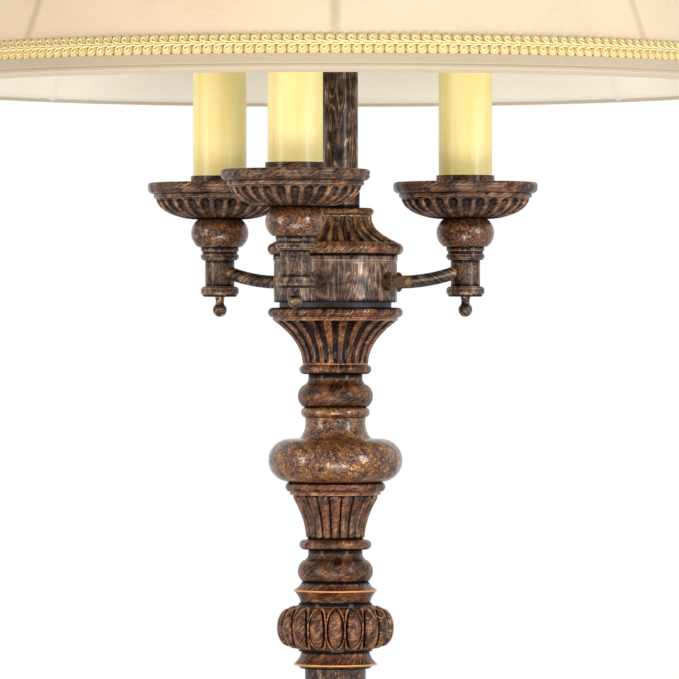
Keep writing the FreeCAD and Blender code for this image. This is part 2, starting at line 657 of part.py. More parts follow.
def make_switch(port_z):
    """Rotary switch: body inside the drum, threaded neck through its wall, washer, nut and turning knob."""
    face_r = flat_inside(DRUM_R - DRUM_WALL, SWITCH_BODY_R)
    neck_end = DRUM_R + SWITCH_NECK_OUT
    bore_r = KNOB_SHAFT_R + TURN_FIT
    body = outward(SWITCH_BODY_R, face_r - SWITCH_BODY_L, face_r, port_z)
    neck = outward(SWITCH_NECK_R, face_r, neck_end, port_z)
    bore = outward(bore_r, neck_end - KNOB_SHAFT_L - REST_GAP, neck_end, port_z)
    keep("switch_body", to_azimuth(body.fuse(neck).cut(bore), SWITCH_AZIMUTH))
    washer = outward(SWITCH_WASHER_R, DRUM_R / 2, DRUM_R + SWITCH_WASHER_T, port_z)
    washer = washer.cut(cylinder(DRUM_R, port_z - DRUM_R, port_z + DRUM_R))
    washer = washer.cut(outward(SWITCH_NECK_R + TUBE_FIT, 0, 2 * DRUM_R, port_z))
    nut = hexagon(SWITCH_NUT_FLATS, SWITCH_NECK_R + TUBE_FIT, 0, SWITCH_NUT_H)
    nut = laid_outward(nut, DRUM_R + SWITCH_WASHER_T, port_z)
    keep("switch_nut", to_azimuth(washer, SWITCH_AZIMUTH), to_azimuth(nut, SWITCH_AZIMUTH))
    grip_z = KNOB_SHAFT_L + REST_GAP
    grip = Part.Face(scalloped_wire(grip_z, KNOB_GRIP_R, KNOB_GRIP_FLUTES, KNURL_DEPTH)).extrude(V(0, 0, KNOB_GRIP_L))
    dome = Outline(0, grip_z + KNOB_GRIP_L).to(KNOB_GRIP_R * 0.85, grip_z + KNOB_GRIP_L)
    dome.arc(0, grip_z + KNOB_GRIP_L + KNOB_GRIP_R / 3, KNOB_GRIP_R / 6)
    knob = grip.fuse([cylinder(KNOB_SHAFT_R, 0, grip_z + KNOB_GRIP_L / 2), dome.turned()])
    keep("switch_knob", to_azimuth(laid_outward(knob, neck_end - KNOB_SHAFT_L, port_z), SWITCH_AZIMUTH))


# ================================================================ stem
def make_stem(z):
    """Tube that carries the shade, the ring round its foot, and its studded plug and seat. Returns the seat's top."""
    top = z + STEM_L
    insert = tube(STEM_R - STEM_WALL / 2, PIPE_R + TUBE_FIT, z, z + STEM_INSERT_H)
    keep("stem_tube", tube(STEM_R, STEM_R - STEM_WALL, z, top).fuse(insert).removeSplitter())
    ring_r = STEM_R + TUBE_FIT
    keep("stem_collar", tube(ring_r + STEM_COLLAR_T, ring_r, z, z + STEM_COLLAR_H))
    seat_top = top + SEAT_H
    stud_top = seat_top + REST_GAP + SPIDER_HUB_T + STUD_OUT
    plug = cylinder(STEM_R - STEM_WALL - TUBE_FIT, top - STUD_PLUG_H, top)
    keep("stem_stud", plug.fuse(cylinder(STUD_R, top, stud_top)))
    taper = SEAT_R - STEM_R
    seat = Outline(STUD_R + TUBE_FIT, 0).to(STEM_R, 0).arc(SEAT_R, taper, -taper / 6).to(SEAT_R, SEAT_H)
    keep("shade_seat", seat.to(STUD_R + TUBE_FIT, SEAT_H).turned(top))
    return seat_top


# ================================================================ candle arms
def arm_path(port_z, angle):
    """Centre line of an arm on the -Y side: level out of the drum, bent up, then straight into the casting."""
    bend = math.radians(angle)
    start = V(0, -(DRUM_R - DRUM_WALL - ARM_TAIL), port_z)
    level = V(0, -(DRUM_R + ARM_COLLAR_L), port_z)
    span = ARM_REACH - CASTING_R - (DRUM_R + ARM_COLLAR_L)
    radius = span / math.sin(bend)
    half = level + V(0, -radius * math.sin(bend / 2), radius * (1 - math.cos(bend / 2)))
    bent = level + V(0, -span, radius * (1 - math.cos(bend)))
    run = CASTING_R - PIPE_R - SLIDE_FIT
    end = bent + V(0, -run, run * math.tan(bend))
    axis_z = bent.z + CASTING_R * math.tan(bend)
    line = [Part.LineSegment(start, level), Part.Arc(level, half, bent), Part.LineSegment(bent, end)]
    return Part.Wire([edge.toShape() for edge in line]), start, axis_z


def swept(path, start, r):
    """Round bar of radius r along a path that starts towards -Y."""
    ring = Part.Wire([Part.Circle(start, V(0, 1, 0), r).toShape()])
    return path.makePipeShell([ring], True, False)


def casting(z):
    """Casting under a candle: a plain barrel between stepped rings, bored for the nipple."""
    step = (CASTING_RING_R - CASTING_R) / 3
    shape = Outline(0, 0)
    at = 0
    for rings, top in ((CASTING_FOOT, None), (CASTING_HEAD, CASTING_HEAD)):
        if top:
            shape.to(CASTING_R, at)
            at = CASTING_H - step * sum(rows for _, rows in top)
            shape.to(CASTING_R, at)
        for inset, rows in rings:
            shape.to(CASTING_RING_R - inset * step, at)
            at += rows * step
            shape.to(CASTING_RING_R - inset * step, at)
    solid = shape.to(0, at).turned(z)
    solid = solid.cut(cylinder(PIPE_R + SLIDE_FIT, z + CASTING_FLOOR, z + CASTING_H))
    return solid.cut(cylinder(TIP_STUD_R + TUBE_FIT, z, z + CASTING_FLOOR))


def tip(z):
    """Little ball under the casting, on its threaded stud."""
    shoulder = TIP_NECK_R + TIP_FLARE
    ball_z = -TIP_NECK_H - flat_inside(TIP_BALL_R, TIP_NECK_R)
    shape = Outline(0, -TIP_NECK_H).to(TIP_NECK_R, -TIP_NECK_H).arc(shoulder, 0, -TIP_FLARE / 3).to(TIP_STUD_R, 0)
    stud = shape.to(TIP_STUD_R, TIP_STUD_L).to(0, TIP_STUD_L).turned()
    solid = stud.fuse(Part.makeSphere(TIP_BALL_R, V(0, 0, ball_z)))
    solid.translate(V(0, 0, z))
    return solid


def bead(z):
    """Stone-effect bead, flat at both ends."""
    shape = Outline(0, 0).to(BEAD_END_R, 0).arc(BEAD_END_R, BEAD_H, BEAD_R - BEAD_END_R).to(0, BEAD_H)
    return shape.turned(z).cut(cylinder(PIPE_R + SLIDE_FIT, z, z + BEAD_H))


def drip_cup(z):
    """Fluted bowl under a step and a rolled rim, dished on top."""
    bowl = fluted(z, z + CUP_BOWL_H, CUP_FOOT_R, CUP_BOWL_R, CUP_FLUTES, CUP_FLARE)
    rim_z = CUP_BOWL_H + CUP_STEP_H
    rim_mid = (rim_z + CUP_H) / 2
    step_r = CUP_BOWL_R + CUP_STEP_W
    shape = Outline(0, CUP_BOWL_H).to(step_r, CUP_BOWL_H).to(step_r, rim_z).arc(CUP_R, rim_mid, CUP_RIM_SWELL)
    shape.arc(CUP_R - CUP_RIM_T, CUP_H, CUP_RIM_T / 3).to(CUP_R - 2 * CUP_RIM_T, CUP_H)
    shape.arc(CUP_DISH_R, CUP_FLOOR_H, -CUP_RIM_T / 2).to(0, CUP_FLOOR_H)
    return bowl.fuse(shape.turned(z)).cut(cylinder(PIPE_R + SLIDE_FIT, z, z + CUP_H))


def candle_ring(z):
    """Ring on the cup's floor that holds the foot of the candle sleeve."""
    solid = cylinder(RING_R, z, z + RING_H).cut(cylinder(SLEEVE_R + TUBE_FIT, z + RING_FLOOR, z + RING_H))
    return solid.cut(cylinder(PIPE_R + SLIDE_FIT, z, z + RING_FLOOR))


def socket(z, lip_z):
    """Lamp socket: a threaded foot on the nipple, a waist, an insulating body and an open screw shell."""
    shell_z = lip_z - BULB_CAP_L - REST_GAP
    back_z = shell_z - SOCKET_BACK_H
    foot = cylinder(PIPE_R + SOCKET_FOOT_WALL, z, z + SOCKET_FOOT_H)
    shell = cylinder(SLEEVE_R - SLEEVE_WALL - TUBE_FIT, back_z, lip_z)
    solid = foot.fuse([cylinder(SOCKET_WAIST_R, z, back_z + 1), shell])
    solid = solid.cut(cylinder(BULB_CAP_R + TURN_FIT, shell_z, lip_z))
    return solid.cut(cylinder(PIPE_R + TUBE_FIT, z, z + SOCKET_THREAD_L))


def bulb(z):
    """Flame-shaped bulb on a medium screw cap. z is the lip of its socket."""
    low = -BULB_CAP_L
    chamfer = BULB_CAP_R / 2
    belly_z = BULB_GLASS_L * 0.42
    shape = Outline(0, low).to(BULB_CONTACT_R, low).to(BULB_CAP_R - 1, low + chamfer).to(BULB_CAP_R, low + chamfer + 1)
    shape.to(BULB_CAP_R, BULB_NECK_L).arc(BULB_R, belly_z, (BULB_R - BULB_CAP_R) / 3)
    shape.arc(1.0, BULB_GLASS_L, BULB_R / 4).to(0, BULB_GLASS_L)
    return shape.turned(z)


def make_arms(port_z):
    """Three candle arms, each with its casting, bead, cup, ring, sleeve, socket and bulb."""
    collar_ring = outward(ARM_COLLAR_R, DRUM_R / 2, DRUM_R + ARM_COLLAR_L, port_z)
    collar_ring = collar_ring.cut(cylinder(DRUM_R, port_z - DRUM_R, port_z + DRUM_R))
    collar_ring = collar_ring.cut(outward(ARM_TUBE_R + TUBE_FIT, 0, 2 * DRUM_R, port_z))
    collars, tips, nipples, beads, rings, sockets = [], [], [], [], [], []
    for name, azimuth in ARM_AZIMUTH.items():
        path, start, axis_z = arm_path(port_z, ARM_BEND[name])
        casting_z = axis_z - CASTING_PORT_H
        bead_z = casting_z + CASTING_H
        cup_z = bead_z + BEAD_H
        ring_z = cup_z + CUP_FLOOR_H
        sleeve_z = ring_z + RING_FLOOR
        lip_z = sleeve_z + SLEEVE_L - SOCKET_RECESS

        keep_out = Part.makeCylinder(PIPE_R + SLIDE_FIT, CASTING_H, V(0, -ARM_REACH, casting_z))
        arm = swept(path, start, ARM_TUBE_R).cut(swept(path, start, ARM_TUBE_R - ARM_TUBE_WALL)).cut(keep_out)
        seat = swept(path, start, ARM_TUBE_R + TUBE_FIT)
        seat.translate(V(0, ARM_REACH, 0))
        sleeve = tube(SLEEVE_R, SLEEVE_R - SLEEVE_WALL, sleeve_z, sleeve_z + SLEEVE_L)
        nipple = tube(PIPE_R, PIPE_R - PIPE_WALL, bead_z - CASTING_BORE_H, sleeve_z + SOCKET_THREAD_L)
        keep("arm_" + name, to_azimuth(arm, azimuth))
        keep("casting_" + name, to_candle(casting(casting_z).cut(seat), name))
        keep("cup_" + name, to_candle(drip_cup(cup_z), name))
        keep("sleeve_" + name, to_candle(sleeve, name))
        keep("bulb_" + name, to_candle(bulb(lip_z), name))
        collars.append(to_azimuth(collar_ring, azimuth))
        tips.append(to_candle(tip(casting_z), name))
        nipples.append(to_candle(nipple, name))
        beads.append(to_candle(bead(bead_z), name))
        rings.append(to_candle(candle_ring(ring_z), name))
        sockets.append(to_candle(socket(sleeve_z, lip_z), name))
    keep("arm_collars", *collars)
    keep("casting_tips", *tips)
    keep("candle_nipples", *nipples)
    keep("stone_beads", *beads)
    keep("candle_rings", *rings)
    keep("sockets", *sockets)


# ================================================================ shade
def bell_bend():
    """Radius of the arc that the shade's side follows."""
    chord = math.hypot(SHADE_BOTTOM_R - SHADE_TOP_R, SHADE_H)
    return (chord ** 2 / 4 + SHADE_SAG ** 2) / (2 * SHADE_SAG)


def bell_radius(h):
    """Outer radius of the shade at a height above its lower edge. The side is one arc that bows in."""
    lean = SHADE_BOTTOM_R - SHADE_TOP_R
    chord = math.hypot(lean, SHADE_H)
    radius = bell_bend()
    away = radius - SHADE_SAG
    centre_r = (SHADE_BOTTOM_R + SHADE_TOP_R) / 2 + away * SHADE_H / chord
    centre_z = SHADE_H / 2 + away * lean / chord
    return centre_r - math.sqrt(radius ** 2 - (h - centre_z) ** 2)


def bell_shell(h0, h1, outer, inner):
    """Shell between two heights that lies from outer to inner inside the shade's outer face."""
    half_chord = math.hypot(bell_radius(h0) - bell_radius(h1), h1 - h0) / 2
    sag = bell_bend() - math.sqrt(bell_bend() ** 2 - half_chord ** 2)
    shape = Outline(bell_radius(h0) - inner, h0).to(bell_radius(h0) - outer, h0)
    shape.arc(bell_radius(h1) - outer, h1, -sag).to(bell_radius(h1) - inner, h1)
    return shape.arc(bell_radius(h0) - inner, h0, sag)


def square_ring(r, z0):
    """Ring of square wire whose outer radius is r."""
    return tube(r, r - WIRE_W, z0, z0 + WIRE_W)


def make_shade(z):
    """Shade on the stem's seat: spider, wire frame, cover, lining, hem bands and braid."""
    low = z + REST_GAP + SPIDER_HUB_T + SPIDER_DROP - SHADE_H
    keep("shade_cover", bell_shell(0, SHADE_H, 0, COVER_T).turned(low))
    wire = COVER_T + FABRIC_GAP
    lining = wire + WIRE_W + FABRIC_GAP
    shell = bell_shell(LINING_BOTTOM, SHADE_H - LINING_TOP, lining, lining + LINING_T)
    keep("shade_lining", shell.turned(low))
    hem = [bell_shell(0, HEM_H, -HEM_T - FABRIC_GAP, -FABRIC_GAP).turned(low)]
    hem.append(bell_shell(SHADE_H - HEM_H, SHADE_H, -HEM_T - FABRIC_GAP, -FABRIC_GAP).turned(low))
    keep("shade_hem", *hem)
    braid = [bell_shell(HEM_H, HEM_H + BRAID_H, -BRAID_T - FABRIC_GAP, -FABRIC_GAP).turned(low)]
    high = SHADE_H - HEM_H
    braid.append(bell_shell(high - BRAID_H, high, -BRAID_T - FABRIC_GAP, -FABRIC_GAP).turned(low))
    keep("shade_braid", *braid)

    top_z = SHADE_H - WIRE_W
    top_r = bell_radius(SHADE_H) - wire
    rib = bell_shell(WIRE_W, top_z, wire, wire + WIRE_W)
    rib = Part.Face(Part.Wire(rib.edges)).extrude(V(0, WIRE_W, 0))
    rib.translate(V(0, -WIRE_W / 2, low))
    frame = [square_ring(bell_radius(WIRE_W) - wire, low), square_ring(top_r, low + top_z)]
    for i in range(SHADE_PANELS):
        turned = rib.copy()
        turned.rotate(V(0, 0, 0), V(0, 0, 1), 90 + i * 360 / SHADE_PANELS)
        frame.append(turned)
    keep("shade_frame", *frame)

    hub_z = z + REST_GAP
    start = V(SPIDER_HUB_R - SPIDER_ROD_R, 0, hub_z + SPIDER_HUB_T / 2)
    end = V(top_r - WIRE_W - TUBE_FIT, 0, low + top_z + WIRE_W / 2)
    rod = Part.makeCylinder(SPIDER_ROD_R, end.distanceToPoint(start), start, end - start)
    rods = []
    for i in range(SPIDER_ARMS):
        turned = rod.copy()
        turned.rotate(V(0, 0, 0), V(0, 0, 1), 90 + i * 360 / SPIDER_ARMS)
        rods.append(turned)
    hub = cylinder(SPIDER_HUB_R, hub_z, hub_z + SPIDER_HUB_T)
    keep("shade_spider", hub.fuse(rods).cut(cylinder(STUD_R + SLIDE_FIT, hub_z - 1, hub_z + SPIDER_HUB_T + 1)))
    return hub_z + SPIDER_HUB_T


def make_finial(z):
    """Turned finial that holds the shade down on its seat."""
    neck = FINIAL_NECK_R
    foot = FINIAL_FOOT_R
    low = FINIAL_LOWER_H
    top = low + FINIAL_URN_H
    swell = FINIAL_SWELL
    ring = foot - swell
    tip_z = top + FINIAL_TIP_H
    shape = Outline(0, 0).to(ring, 0).arc(ring, low / 5, swell).arc(neck, low / 2, -swell)
    shape.to(ring, low * 0.6).arc(ring, low * 0.75, swell).arc(neck, low, -swell)
    shape.arc(FINIAL_URN_R, low + FINIAL_URN_H * 0.55, 2 * swell).arc(FINIAL_URN_R * 0.8, top - neck, swell)
    shape.to(neck * 0.7, top - swell).to(neck * 0.7, top + swell).arc(FINIAL_TIP_R, top + neck, swell)
    shape.arc(swell, tip_z, 2 * swell).to(0, tip_z)
    bore = STUD_OUT - REST_GAP + STUD_TIP_ROOM
    return shape.turned(z).cut(cylinder(STUD_R + TURN_FIT, z, z + bore))


# ================================================================ lamp
nut_z, foot_top = make_foot()
dome_top = make_dome(foot_top)
column_top = make_column(dome_top)
port_z, drum_top = make_drum(column_top)
cap_top = make_cap(drum_top)
make_switch(port_z)
make_arms(port_z)
seat_top = make_stem(cap_top)
hub_top = make_shade(seat_top)
keep("finial", make_finial(hub_top + REST_GAP))
keep("centre_pipe", tube(PIPE_R, PIPE_R - PIPE_WALL, nut_z - PIPE_END, cap_top + STEM_INSERT_H - PIPE_END))

os.makedirs("parts", exist_ok=True)
for name, shapes in PIECES.items():
    shape = shapes[0] if len(shapes) == 1 else Part.makeCompound(list(shapes))
    shape.exportStep("parts/" + name + ".step")
print(len(PIECES), "nodes written")
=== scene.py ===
"""Looks of the candlestick floor lamp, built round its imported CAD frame.

Sizes in the classes are millimetres, and become metres where a mesh is made. Z is up, the lamp faces -Y, and an azimuth
is counted from -Y, positive towards +X, as in the part's source.
"""

import logging
import math
from collections.abc import Callable, Iterable
from dataclasses import dataclass, field
from enum import Enum

import bmesh
import bpy
import numpy as np
from mathutils import Matrix, Vector


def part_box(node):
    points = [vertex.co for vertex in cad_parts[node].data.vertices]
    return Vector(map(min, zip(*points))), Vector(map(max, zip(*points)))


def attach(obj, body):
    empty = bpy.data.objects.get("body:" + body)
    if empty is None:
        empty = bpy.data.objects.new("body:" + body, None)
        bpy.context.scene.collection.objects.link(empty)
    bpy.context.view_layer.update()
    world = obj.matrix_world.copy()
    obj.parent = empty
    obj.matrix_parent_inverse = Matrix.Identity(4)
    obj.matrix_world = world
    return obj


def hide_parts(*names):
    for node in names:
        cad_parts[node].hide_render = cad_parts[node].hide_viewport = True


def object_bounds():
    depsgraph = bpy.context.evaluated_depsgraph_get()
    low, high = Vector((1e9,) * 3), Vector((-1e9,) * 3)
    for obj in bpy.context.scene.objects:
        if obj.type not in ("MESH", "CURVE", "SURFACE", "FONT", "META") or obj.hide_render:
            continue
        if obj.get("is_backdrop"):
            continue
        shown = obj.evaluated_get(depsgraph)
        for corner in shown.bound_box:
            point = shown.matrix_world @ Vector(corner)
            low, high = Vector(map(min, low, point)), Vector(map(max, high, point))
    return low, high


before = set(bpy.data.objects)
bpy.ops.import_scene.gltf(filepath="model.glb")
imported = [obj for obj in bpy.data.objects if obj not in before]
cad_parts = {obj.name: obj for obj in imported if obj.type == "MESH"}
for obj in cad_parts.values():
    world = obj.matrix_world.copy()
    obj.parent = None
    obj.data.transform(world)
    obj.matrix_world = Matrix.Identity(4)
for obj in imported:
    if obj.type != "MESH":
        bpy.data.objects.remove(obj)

MM = 0.001
LOG = logging.getLogger("lamp")
Colour = tuple[float, float, float, float]
Socket = bpy.types.NodeSocket
CANDLE_REACH = 81.4
CANDLES = {"front": -15.7, "right": 115.0, "left": -126.0}
SWITCH_AZIMUTH = 58.0


class Slot(Enum):
    """Material slots of the model; a turning keeps one, and no finish is taken from it."""

    FELT = "felt"
    BRONZE = "bronze"
    STONE = "stone_finish"
    BRASS = "brass"
    STEEL = "steel"
    GLASS = "bulb_glass"
    COVER = "shade_fabric"
    LINING = "lining_fabric"
    HEM = "hem_fabric"
    BRAID = "braid"


def colour(code: str) -> Colour:
    """Turns a colour written as six hexadecimal digits into the linear values that shaders take.

    Args:
        code: The colour as it looks on a screen, such as "3A2A22".

    Returns:
        Linear red, green and blue, and an alpha of 1.
    """
    shares = [int(code[i : i + 2], 16) / 255 for i in (0, 2, 4)]
    red, green, blue = (s / 12.92 if s <= 0.04045 else ((s + 0.055) / 1.055) ** 2.4 for s in shares)
    return red, green, blue, 1.0


def low_of(node: str) -> float:
    """Height of a CAD node's underside, in millimetres."""
    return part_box(node)[0].z / MM


def candle_axis(arm: str) -> tuple[float, float]:
    """Place of a candle's axis, in millimetres."""
    angle = math.radians(CANDLES[arm])
    return CANDLE_REACH * math.sin(angle), -CANDLE_REACH * math.cos(angle)


# ---------------------------------------------------------------- shader building
class Shading:
    """One material's node tree, with short ways to add and join nodes."""

    def __init__(self, name: str) -> None:
        """Makes the material and keeps its Principled shader at hand.

        Args:
            name: Name of the material.
        """
        self.material = bpy.data.materials.new(name)
        self.material.use_nodes = True
        self.tree = self.material.node_tree
        self.shader = self.tree.nodes["Principled BSDF"]

    def node(self, kind: str, inputs: dict[str | int, object] | None = None, **settings: object) -> bpy.types.Node:
        """Adds a node.

        Args:
            kind: The node's type name, without its ShaderNode prefix.
            inputs: Values or sockets for its inputs, by name or number.
            settings: The node's own properties.

        Returns:
            The new node.
        """
        made = self.tree.nodes.new("ShaderNode" + kind)
        for key, value in settings.items():
            setattr(made, key, value)
        for key, value in (inputs or {}).items():
            if isinstance(value, bpy.types.NodeSocket):
                self.tree.links.new(value, made.inputs[key])
            else:
                made.inputs[key].default_value = value
        return made

    def math(self, operation: str, first: Socket | float, second: Socket | float = 0.0, clamp: bool = False) -> Socket:
        """Adds a Math node and returns what it gives."""
        return self.node("Math", {0: first, 1: second}, operation=operation, use_clamp=clamp).outputs[0]

    def place(self, centre: tuple[float, float] = (0.0, 0.0), scale: tuple[float, float, float] = (1, 1, 1)) -> Socket:
        """Object coordinates in millimetres, counted from a piece's own axis and stretched.

        Args:
            centre: Place of the piece's axis, in millimetres.
            scale: Stretch along the three axes.

        Returns:
            The coordinates.
        """
        coordinates = self.node("TexCoord").outputs["Object"]
        values = {"Vector": coordinates, "Scale": tuple(s / MM for s in scale)}
        values["Location"] = (-centre[0] * scale[0], -centre[1] * scale[1], 0.0)
        return self.node("Mapping", values).outputs[0]

    def noise(self, at: Socket, scale: float, detail: float = 3.0, rough: float = 0.5, swirl: float = 0.0) -> Socket:
        """Adds a noise pattern and returns its strength from 0 to 1."""
        values = {"Vector": at, "Scale": scale, "Detail": detail, "Roughness": rough, "Distortion": swirl}
        return self.node("TexNoise", values).outputs[0]

    def ramp(self, factor: Socket, stops: Iterable[tuple[float, Colour]]) -> Socket:
        """Adds a colour ramp.

        Args:
            factor: What the ramp reads.
            stops: Position and colour of each stop, from low to high.

        Returns:
            The colour.
        """
        made = self.node("ValToRGB", {0: factor})
        elements = made.color_ramp.elements
        for i, (at, value) in enumerate(stops):
            element = elements[i] if i < 2 else elements.new(at)
            element.position, element.color = at, value
        return made.outputs[0]

    def range(self, value: Socket, low: float, high: float, to_low: float, to_high: float) -> Socket:
        """Maps a range of values onto another, with smooth ends."""
        values = {0: value, 1: low, 2: high, 3: to_low, 4: to_high}
        return self.node("MapRange", values, interpolation_type="SMOOTHSTEP").outputs[0]

    def mix(self, factor: Socket | float, first: Socket | Colour, second: Socket | Colour, how: str = "MIX") -> Socket:
        """Mixes two colours and returns the result."""
        values = {"Factor": factor, 6: first, 7: second}
        return self.node("Mix", values, data_type="RGBA", blend_type=how).outputs[2]

    def relief(self) -> Socket:
        """The piece's own relief attribute: above 0 on ridges, below 0 in grooves, 0 where it has none."""
        return self.node("Attribute", attribute_name="relief").outputs["Fac"]

    def bump(self, height: Socket, depth: float, under: Socket | None = None) -> Socket:
        """Adds a bump and returns its normal.

        Args:
            height: Pattern of heights from 0 to 1.
            depth: Height of the pattern's top, in millimetres.
            under: Normal of a coarser bump below it.

        Returns:
            The normal.
        """
        values: dict[str | int, object] = {"Strength": 1.0, "Distance": depth * MM, "Height": height}
        if under is not None:
            values["Normal"] = under
        return self.node("Bump", values).outputs[0]

    def set(self, **values: object) -> None:
        """Sets or joins inputs of the shader. Underscores stand for spaces in their names."""
        for key, value in values.items():
            socket = self.shader.inputs[key.replace("_", " ")]
            if isinstance(value, bpy.types.NodeSocket):
                self.tree.links.new(value, socket)
            else:
                socket.default_value = value


class Finish:
    """A finish that makes its material once for each place that it is centred on."""

    made: dict[tuple[object, tuple[float, float]], bpy.types.Material] = {}

    def material(self, centre: tuple[float, float] = (0.0, 0.0)) -> bpy.types.Material:
        """Gives the finish's material.

        Args:
            centre: Axis that the pattern goes round, in millimetres.

        Returns:
            The material, made at the first call.
        """
        key = (self, centre)
        if key not in Finish.made:
            name = self.name if centre == (0.0, 0.0) else f"{self.name}_{len(Finish.made)}"
            Finish.made[key] = self.build(Shading(name), centre).material
        return Finish.made[key]

    def build(self, work: Shading, centre: tuple[float, float]) -> Shading:
        """Fills the node tree."""
        raise NotImplementedError


@dataclass(frozen=True)
class Bronze(Finish):
    """Hand-rubbed antique bronze: dark lacquer, copper strokes along the turning, ridges lit as wear and painted
    highlight, grooves darkened as lacquer and painted shade.
    """

    name: str
    dark: Colour = colour("120A07")
    body: Colour = colour("44271B")
    bright: Colour = colour("834C2D")
    copper_and_glint: Colour = colour("D8985A")
    girth: float = 25.0
    across: float = 0.6
    along: float = 4.5
    twist: float = 0.0
    swirl: float = 0.4
    cover: float = 0.0
    contrast: float = 1.15
    ridge_wear_and_glint: float = 0.26
    hollow_lacquer_and_shade: float = 0.5
    grain: float = 1.0
    veins: float = 0.0

    def build(self, work: Shading, centre: tuple[float, float]) -> Shading:
        """Draws the strokes on a screw line round the piece's axis, so that they have no seam.

        Args:
            work: The node tree to fill.
            centre: Axis of the piece, in millimetres.

        Returns:
            The same tree.
        """
        at = work.place(centre)
        axes = work.node("SeparateXYZ", {0: at}).outputs
        radius = work.math("SQRT", work.math("ADD", work.math("POWER", axes[0], 2), work.math("POWER", axes[1], 2)))
        run = work.math("ADD", axes[2], work.math("MULTIPLY", radius, 0.7))
        turn = work.math("ADD", work.math("ARCTAN2", axes[0], axes[1]), work.math("MULTIPLY", run, self.twist))
        round_x = work.math("MULTIPLY", work.math("COSINE", turn), self.girth / self.across)
        round_y = work.math("MULTIPLY", work.math("SINE", turn), self.girth / self.across)
        wound = work.node("CombineXYZ", {0: round_x, 1: round_y, 2: work.math("DIVIDE", run, self.along)}).outputs[0]
        strokes = work.noise(wound, 1.0, 3.0, 0.6, self.swirl)
        scratches = work.range(work.noise(wound, 2.1, 2.0, 0.7), 0.5, 0.72, -0.25, 1.0)
        patches = work.noise(at, 0.13, 4.0, 0.6, 0.6)
        level = work.math("ADD", work.math("MULTIPLY", work.math("SUBTRACT", strokes, 0.5), 0.6 * self.grain), 0.5)
        level = work.math("ADD", level, work.math("MULTIPLY", scratches, 0.17 * self.grain))
        level = work.math("ADD", level, work.math("MULTIPLY", work.math("SUBTRACT", patches, 0.5), 0.45))
        # Painted highlight and wear on the ridges, painted shade and lacquer in the grooves, both read from the relief
        # attribute.
        groove = work.math("MINIMUM", work.relief(), 0.0)
        level = work.math("ADD", level, work.range(work.relief(), 0.0, 0.8, 0.0, self.ridge_wear_and_glint))
        level = work.math("ADD", level, work.math("MULTIPLY", groove, self.hollow_lacquer_and_shade))
        level = work.math("ADD", level, self.cover)
        if self.veins:
            bands = work.math("MULTIPLY", work.noise(wound, 0.4, 1.0, 0.4, self.swirl), 8.0)
            line = work.range(work.math("PINGPONG", bands, 0.5), 0.22, 0.5, -0.3, 1.0)
            level = work.math("ADD", level, work.math("MULTIPLY", line, self.veins))
        half = 0.085 / self.contrast
        tint = work.ramp(level, [(0.5 - 1.5 * half, self.dark), (0.5 - 0.1 * half, self.body),
                                 (0.5 + 1.1 * half, self.bright), (min(1.0, 0.5 + 2.4 * half), self.copper_and_glint)])
        work.set(
            Base_Color=tint,
            Metallic=work.range(level, 0.45, 0.8, 0.0, 0.4),
            Roughness=work.range(level, 0.4, 0.75, 0.42, 0.3),
            Specular_IOR_Level=work.range(level, 0.3, 0.66, 0.02, 0.4),
            Normal=work.bump(level, 0.1),
            Coat_Weight=0.2,
            Coat_Roughness=0.1,
        )
        return work


@dataclass(frozen=True)
class Stone(Finish):
    """Varnished stone effect: mottled gold, ochre and brown with dark pits."""

    name: str = "stone_effect"
    size: float = 1.0
    cover: float = 0.0

    def build(self, work: Shading, centre: tuple[float, float]) -> Shading:
        """Mixes clouds, crumbs and pits."""
        at = work.place(centre)
        clouds = work.noise(at, 0.16 / self.size, 4.0, 0.6, 1.2)
        crumbs = work.noise(at, 0.85 / self.size, 6.0, 0.72, 0.8)
        flecks = work.node("TexVoronoi", {"Vector": at, "Scale": 1.15 / self.size, "Randomness": 1.0}).outputs[0]
        level = work.math("ADD", work.math("MULTIPLY", crumbs, 1.15), work.math("MULTIPLY", clouds, 0.7))
        level = work.math("SUBTRACT", level, work.math("MULTIPLY", flecks, 0.25))
        level = work.math("ADD", level, self.cover - 0.165)
        stops = [(0.38, "0D0604"), (0.5, "2D180E"), (0.6, "58351F"), (0.7, "7F5230"), (0.78, "AC743A"), (0.88, "F0B45E")]
        tint = work.ramp(level, [(at_stop, colour(code)) for at_stop, code in stops])
        pits = work.range(level, 0.36, 0.5, 0.0, 1.0)
        work.set(
            Base_Color=tint,
            Metallic=work.range(level, 0.65, 0.8, 0.0, 0.5),
            Roughness=work.range(level, 0.4, 0.6, 0.45, 0.3),
            Specular_IOR_Level=work.range(level, 0.4, 0.66, 0.15, 0.5),
            Normal=work.bump(pits, 0.1),
            Coat_Weight=0.4,
            Coat_Roughness=0.12,
        )
        return work


@dataclass(frozen=True)
class Metal(Finish):
    """Plain metal with fine tool marks and a little tarnish."""

    name: str
    bright: Colour
    dull: Colour
    rough: float = 0.3
    metal: float = 1.0

    def build(self, work: Shading, centre: tuple[float, float]) -> Shading:
        """Blends the dull tone in by cloudy noise, darkens the grooves as painted shade and lightens the ridges as
        painted highlight.
        """
        at = work.place(centre)
        clouds = work.noise(at, 0.35, 4.0, 0.6)
        marks = work.noise(work.place(centre, (1.0, 1.0, 0.15)), 3.0, 2.0, 0.5)
        # Painted shade and highlight: the relief attribute darkens the grooves and lightens the ridges.
        level = work.math("ADD", clouds, work.math("MULTIPLY", work.relief(), 0.4))
        tint = work.ramp(level, [(0.36, self.dull), (0.62, self.bright)])
        rough = work.range(marks, 0.3, 0.7, self.rough * 0.8, self.rough * 1.4)
        work.set(Base_Color=tint, Roughness=rough, Metallic=self.metal, Normal=work.bump(marks, 0.02))
        return work


